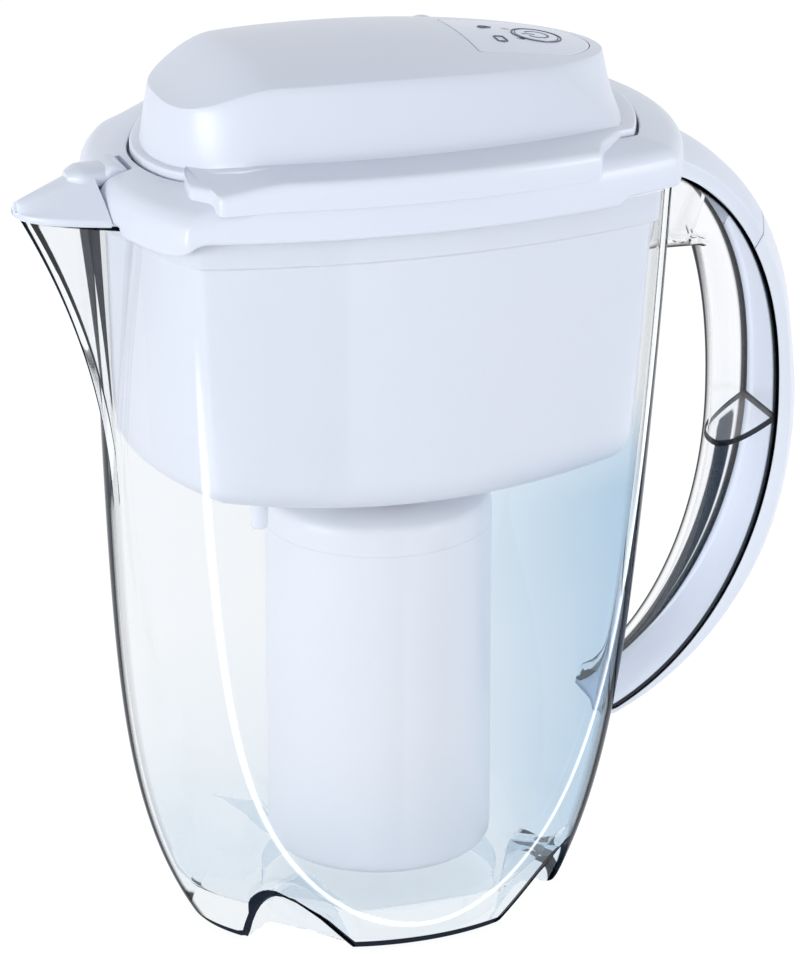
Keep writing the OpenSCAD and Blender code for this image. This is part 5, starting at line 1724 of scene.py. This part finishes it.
WRAP = Finish("battery_wrap", (0.07, 0.13, 0.24), (0.09, 0.16, 0.28), edge=(0.3, 0.36, 0.46),
              roughness=0.25, patches=80, coat=0.4, solid=True)
MILKY = Finish("light_pipe", (0.62, 0.70, 0.76), (0.54, 0.63, 0.70), edge=(0.8, 0.85, 0.9),
               roughness=0.18, patches=100, coat=0.3, solid=True)

NODE_FINISH = {"flap_pin": WHITE, "neck_seal": SEAL, "carbon_block": CARBON,
               "membrane_bundle": FIBRE, "outlet_cap": FILTER, "lid_gasket": SEAL, "light_pipes": WINDOW,
               "circuit_board": BOARD, "power_switch": DARK, "battery": WRAP, "pump_motor": STEEL,
               "pump_head": DARK, "air_tube": MILKY, "air_valve": RUBBER, "charge_socket": STEEL,
               "cover_screws": STEEL, "port_plug": WHITE, "pump_crank": STEEL}


# ---------------------------------------------------------------- sub-assemblies


@dataclass
class Assembly:
    """Something that makes pieces, dresses them and lets each ride on its body."""

    made: list[str] = field(default_factory=list)

    def dress(self, part: Part | Piece, finish: Finish, body: str, slot: Slot,
              nodes: Sequence[str] = ()) -> None:
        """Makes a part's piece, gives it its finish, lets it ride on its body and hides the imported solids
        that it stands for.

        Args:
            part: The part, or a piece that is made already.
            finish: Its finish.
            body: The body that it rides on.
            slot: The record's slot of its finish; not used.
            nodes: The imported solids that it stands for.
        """
        piece = part.piece() if isinstance(part, Part) else part
        piece.data.materials.clear()
        piece.data.materials.append(finish.material())
        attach(piece, body)
        if nodes:
            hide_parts(*nodes)
        self.made.append(piece.name)
        LOG.info("%s: %d faces on %s", piece.name, len(piece.data.polygons), body)


@dataclass
class JugAssembly(Assembly):
    """Clear jug with its handle."""

    jug: Jug = field(default_factory=Jug)
    handle: Handle = field(default_factory=Handle)
    seam_gap: float = 0.003

    def build(self) -> None:
        """Builds the jug, the channel of the handle and its white strip."""
        self.dress(self.jug.shell(), CLEAR, "base", Slot.CLEAR, ["jug"])
        self.dress(self.handle.channel(), CLEAR_HANDLE, "base", Slot.CLEAR, ["handle_channel"])
        seam = self.handle.seam + self.seam_gap
        strip = self.handle.cap("handle_strip_body", seam, 1.0, 0.0, self.handle.seat, 90)
        self.dress(strip, WHITE_PAINTED_LIGHT, "base", Slot.WHITE, ["handle_strip"])


@dataclass
class HopperAssembly(Assembly):
    """Hopper, collar with the handle's crest, and the flap over the spout."""

    hopper: Hopper = field(default_factory=Hopper)
    collar: Collar = field(default_factory=lambda: COLLAR)
    flap: Flap = field(default_factory=Flap)
    handle: Handle = field(default_factory=Handle)

    def build(self) -> None:
        """Builds the pieces that lift out of the jug together, and the flap on them."""
        self.dress(self.hopper.shell(), INNER, "hopper_unit", Slot.WHITE, ["hopper"])
        self.dress(self.hopper.vent(), INNER, "hopper_unit", Slot.WHITE, ["vent_valve"])
        collar = self.collar.shell().piece()
        cut(collar, self.collar.slots())
        self.dress(collar, WHITE, "hopper_unit", Slot.WHITE, ["collar"])
        crest = self.handle.cap("handle_crest_body", 0.0, self.handle.seam, 9.0, COLLAR_OUT + 0.3, 40)
        self.dress(crest, WHITE, "hopper_unit", Slot.WHITE, ["handle_crest"])
        self.dress(self.flap.body(), WHITE, "flap", Slot.WHITE, ["spout_flap"])


@dataclass
class LidAssembly(Assembly):
    """Lid with its control panel and the button on it."""

    lid: Lid = field(default_factory=Lid)
    ink: tuple[float, float] = (-0.25, 0.36)

    def ribbon(self, name: str, paths: Sequence[tuple[Array, bool]], width: float) -> Part:
        """Flat lines that are inlaid in the roof, each a path with a flat closed section.

        Args:
            name: Name of the part.
            paths: Points of each line in plan, and whether it closes on itself.
            width: Width of the lines.

        Returns:
            The part.
        """
        part = Part(name)
        for path, closed in paths:
            if closed:
                way = np.roll(path, -1, axis=0) - np.roll(path, 1, axis=0)
            else:
                way = np.gradient(path, axis=0)
            way = unit(way)
            out = np.stack([way[:, 1], -way[:, 0]], -1) * width / 2
            low, high = self.ink
            section = [(path - out, low), (path + out, low), (path + out, high), (path - out, high)]
            lines = [np.concatenate([p, (self.lid.roof_z(p) + z)[:, None]], 1) for p, z in section]
            part.add(np.stack(lines, 1), Ends.LOOP if closed else Ends.STRIPS)
        return part

    def ring_path(self, x: float, y: float, radius: float, gap: float) -> tuple[Array, bool]:
        """Ring round a point, open by an angle towards the spout where gap isn't 0."""
        a = np.linspace(np.pi + gap, 3 * np.pi - gap, 72, endpoint=gap > 0)
        return np.stack([x + radius * np.cos(a), y + radius * np.sin(a)], -1), gap == 0

    def line(self, x0: float, y0: float, x1: float, y1: float) -> tuple[Array, bool]:
        """Straight line between two points."""
        share = np.linspace(0, 1, 5)[:, None]
        return np.array([x0, y0]) + share * np.array([x1 - x0, y1 - y0]), False

    def drop(self, x: float, y: float, size: float) -> tuple[Array, bool]:
        """Outline of a drop: x = cos(f), y = 0.85 sin(f) sin(f/2)^1.6, its point to the handle."""
        f = np.linspace(0, 2 * np.pi, 40, endpoint=False)
        wide = size * 0.85 * np.sin(f) * np.sin(f / 2) ** 1.6
        return np.stack([x + size * np.cos(f), y + wide], -1), True

    def battery(self, x: float, y: float) -> list[tuple[Array, bool]]:
        """Outline of a battery cell with its pole."""
        f = np.linspace(0, 2 * np.pi, 48, endpoint=False)
        box = [x + 1.5 * signed_power(np.cos(f), 0.25), y + 2.6 * signed_power(np.sin(f), 0.25)]
        return [(np.stack(box, -1), True), self.line(x, y - 2.7, x, y - 3.5)]

    def build(self) -> None:
        """Builds the cover, the base, the panel, its button and the lines inlaid in them."""
        lid, x = self.lid, self.lid.button_x
        cover = lid.cover().piece()
        pocket = Part("pocket").add(lid.on_roof(lid.panel_outline(0.35), -1.3, 6, 0))
        cut(cover, [pocket])
        self.dress(cover, WHITE, "lid", Slot.WHITE, ["lid_cover"])
        self.dress(lid.base(), WHITE, "lid", Slot.WHITE, ["lid_base"])
        panel = Part("panel_body").add(lid.on_roof(lid.panel_outline(0.0), -1.2, 0.1, 0.35)).piece()
        cut(panel, [lid.holes()])
        self.dress(panel, PANEL, "lid", Slot.PANEL, ["control_panel"])
        button = Part("button_body").add(lid.on_roof(lid.disc(x, 0, lid.button_r), -3, 0.3, 0.6))
        self.dress(button, PANEL, "button", Slot.PANEL, ["power_button"])
        power = [self.ring_path(x, 0, 3.6, 0.6), self.line(x - 4.6, 0, x - 0.6, 0)]
        self.dress(self.ribbon("power_mark", power, 0.75), INK, "button", Slot.PANEL)
        marks = [self.ring_path(x, 0, lid.button_r + 1.1, 0), self.drop(36.8, 7.2, 2.0),
                 *self.battery(37.0, -6.8)]
        self.dress(self.ribbon("panel_marks", marks, 0.42), INK, "lid", Slot.PANEL)


@dataclass
class FilterAssembly(Assembly):
    """Filter cartridge."""

    cartridge: Cartridge = field(default_factory=Cartridge)

    def build(self) -> None:
        """Builds the cartridge's body and its cap."""
        self.dress(self.cartridge.body(), FILTER, "cartridge", Slot.WHITE, ["cartridge_shell"])
        self.dress(self.cartridge.cap(), FILTER, "cartridge", Slot.WHITE, ["cartridge_cap"])


# ---------------------------------------------------------------- studio


@dataclass
class Lamp:
    """Soft box that looks at the pitcher. Clear plastic never shows it, and gloss may."""

    name: str
    place: tuple[float, float, float]
    size: tuple[float, float]
    power: float
    gloss: bool = True
    aim: tuple[float, float, float] = (0.0, 0.0, 0.13)

    def build(self) -> None:
        """Makes the area lamp."""
        light = bpy.data.lights.new(self.name, "AREA")
        light.shape = "RECTANGLE"
        light.size, light.size_y = self.size
        light.energy = self.power
        lamp = bpy.data.objects.new(self.name, light)
        lamp.location = self.place
        lamp.visible_transmission = False
        lamp.visible_glossy = self.gloss
        way = Vector(self.aim) - Vector(self.place)
        lamp.rotation_euler = way.to_track_quat("-Z", "Y").to_euler()
        bpy.context.scene.collection.objects.link(lamp)


@dataclass
class Studio:
    """Pale floor, lamps, world and camera."""

    azimuth: float = -19.0
    elevation: float = 21.0
    distance: float = 1.4
    lens: float = 168.26
    aim: tuple[float, float, float] = (-0.005555, 0.0, 0.1385)
    floor_r: float = 3.0
    floor_tones: tuple[Colour, Colour] = ((0.80, 0.81, 0.83), (0.84, 0.85, 0.87))
    floor_white: float = 0.85
    horizon: Colour = (0.68, 0.69, 0.71)
    zenith: Colour = (0.52, 0.55, 0.60)
    lamps: tuple[Lamp, ...] = (
        Lamp("key", (-1.95, -0.45, 0.2), (0.9, 0.9), 24.0),
        Lamp("fill", (1.3, -1.3, 0.35), (0.8, 0.9), 12.0),
        Lamp("low", (-0.2, -1.8, 0.05), (1.4, 0.3), 5.0, gloss=False),
        Lamp("back", (0.5, 1.6, 1.2), (1.2, 0.8), 3.5, gloss=False))

    def camera(self) -> None:
        """Puts up the camera."""
        a, e = math.radians(self.azimuth), math.radians(self.elevation)
        back = Vector((math.sin(a) * math.cos(e), -math.cos(a) * math.cos(e), math.sin(e)))
        data = bpy.data.cameras.new("camera")
        data.lens = self.lens
        data.sensor_width = 36
        data.clip_end = 50
        camera = bpy.data.objects.new("camera", data)
        camera.location = Vector(self.aim) + self.distance * back
        camera.rotation_euler = back.to_track_quat("Z", "Y").to_euler()
        bpy.context.scene.collection.objects.link(camera)
        bpy.context.scene.camera = camera

    def seen(self, t: Tree) -> Socket:
        """Share of white: 1 for camera, gloss and glass rays that haven't lit anything yet."""
        path = t.add("LightPath").outputs
        direct = t.maths("MAXIMUM", path["Is Glossy Ray"], path["Is Transmission Ray"])
        direct = t.maths("MAXIMUM", path["Is Camera Ray"], direct)
        lit = t.maths("MINIMUM", path["Diffuse Depth"], 1.0)
        return t.maths("MULTIPLY", direct, t.maths("SUBTRACT", 1.0, lit))

    def floor(self, low: float) -> None:
        """Lays a large pale disc that shows white and keeps the pitcher's shadow.

        Args:
            low: Height of the floor in metres.
        """
        z, rim, hole = low / MM, self.floor_r / MM, 60
        slab = [(hole, z - 20), (rim, z - 20), (rim, z), (hole, z)]
        part = Part("floor").add(lathe(slab, [0, 0, 0, 0], 96))
        disc = bpy.data.objects.new("floor", part.mesh())
        bpy.context.scene.collection.objects.link(disc)
        material = bpy.data.materials.new("floor")
        material.use_nodes = True
        t = Tree(material.node_tree)
        tone = t.mix(t.noise(t.add("TexCoord").outputs["Object"], 3.0), *self.floor_tones)
        pale = t.add("BsdfDiffuse", {"Color": tone})
        white = t.add("Emission", {"Color": (1, 1, 1, 1), "Strength": 1.1})
        both = t.blend(self.seen(t), pale, t.blend(self.floor_white, pale, white))
        t.add("OutputMaterial", {"Surface": both.outputs[0]})
        disc.data.materials.append(material)

    def world(self) -> None:
        """Lights from all round: pale near the horizon, dimmer overhead, white where it is seen."""
        world = bpy.data.worlds.new("studio")
        world.use_nodes = True
        bpy.context.scene.world = world
        t = Tree(world.node_tree)
        way = t.add("SeparateXYZ", {0: t.add("TexCoord").outputs["Generated"]}).outputs["Z"]
        around = t.ramp(t.maths("ABSOLUTE", way), [(0.0, self.horizon), (1.0, self.zenith)])
        light = t.add("Background", {"Color": around, "Strength": 1.0})
        white = t.add("Background", {"Color": (1, 1, 1, 1), "Strength": 1.0})
        t.add("OutputWorld", {"Surface": t.blend(self.seen(t), light, white).outputs[0]})

    def build(self, low: float) -> None:
        """Builds all of it on a floor at height low."""
        self.camera()
        self.floor(low)
        self.world()
        for lamp in self.lamps:
            lamp.build()
        bpy.context.scene.view_settings.view_transform = "Standard"


def main() -> None:
    """Loads the frame, builds each sub-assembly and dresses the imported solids."""
    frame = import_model()
    logging.basicConfig(level=logging.INFO, format="%(name)s: %(message)s")
    studio = Studio()
    studio.build(0.0)
    for assembly in (JugAssembly(), HopperAssembly(), LidAssembly(), FilterAssembly()):
        assembly.build()
        LOG.info("%s made %d pieces", type(assembly).__name__, len(assembly.made))
    for name, finish in NODE_FINISH.items():
        node = frame["nodes"][name]
        for slot in node.material_slots:
            slot.material = finish.material()
        if not node.material_slots:
            node.data.materials.append(finish.material())


if __name__ == "__main__":
    main()
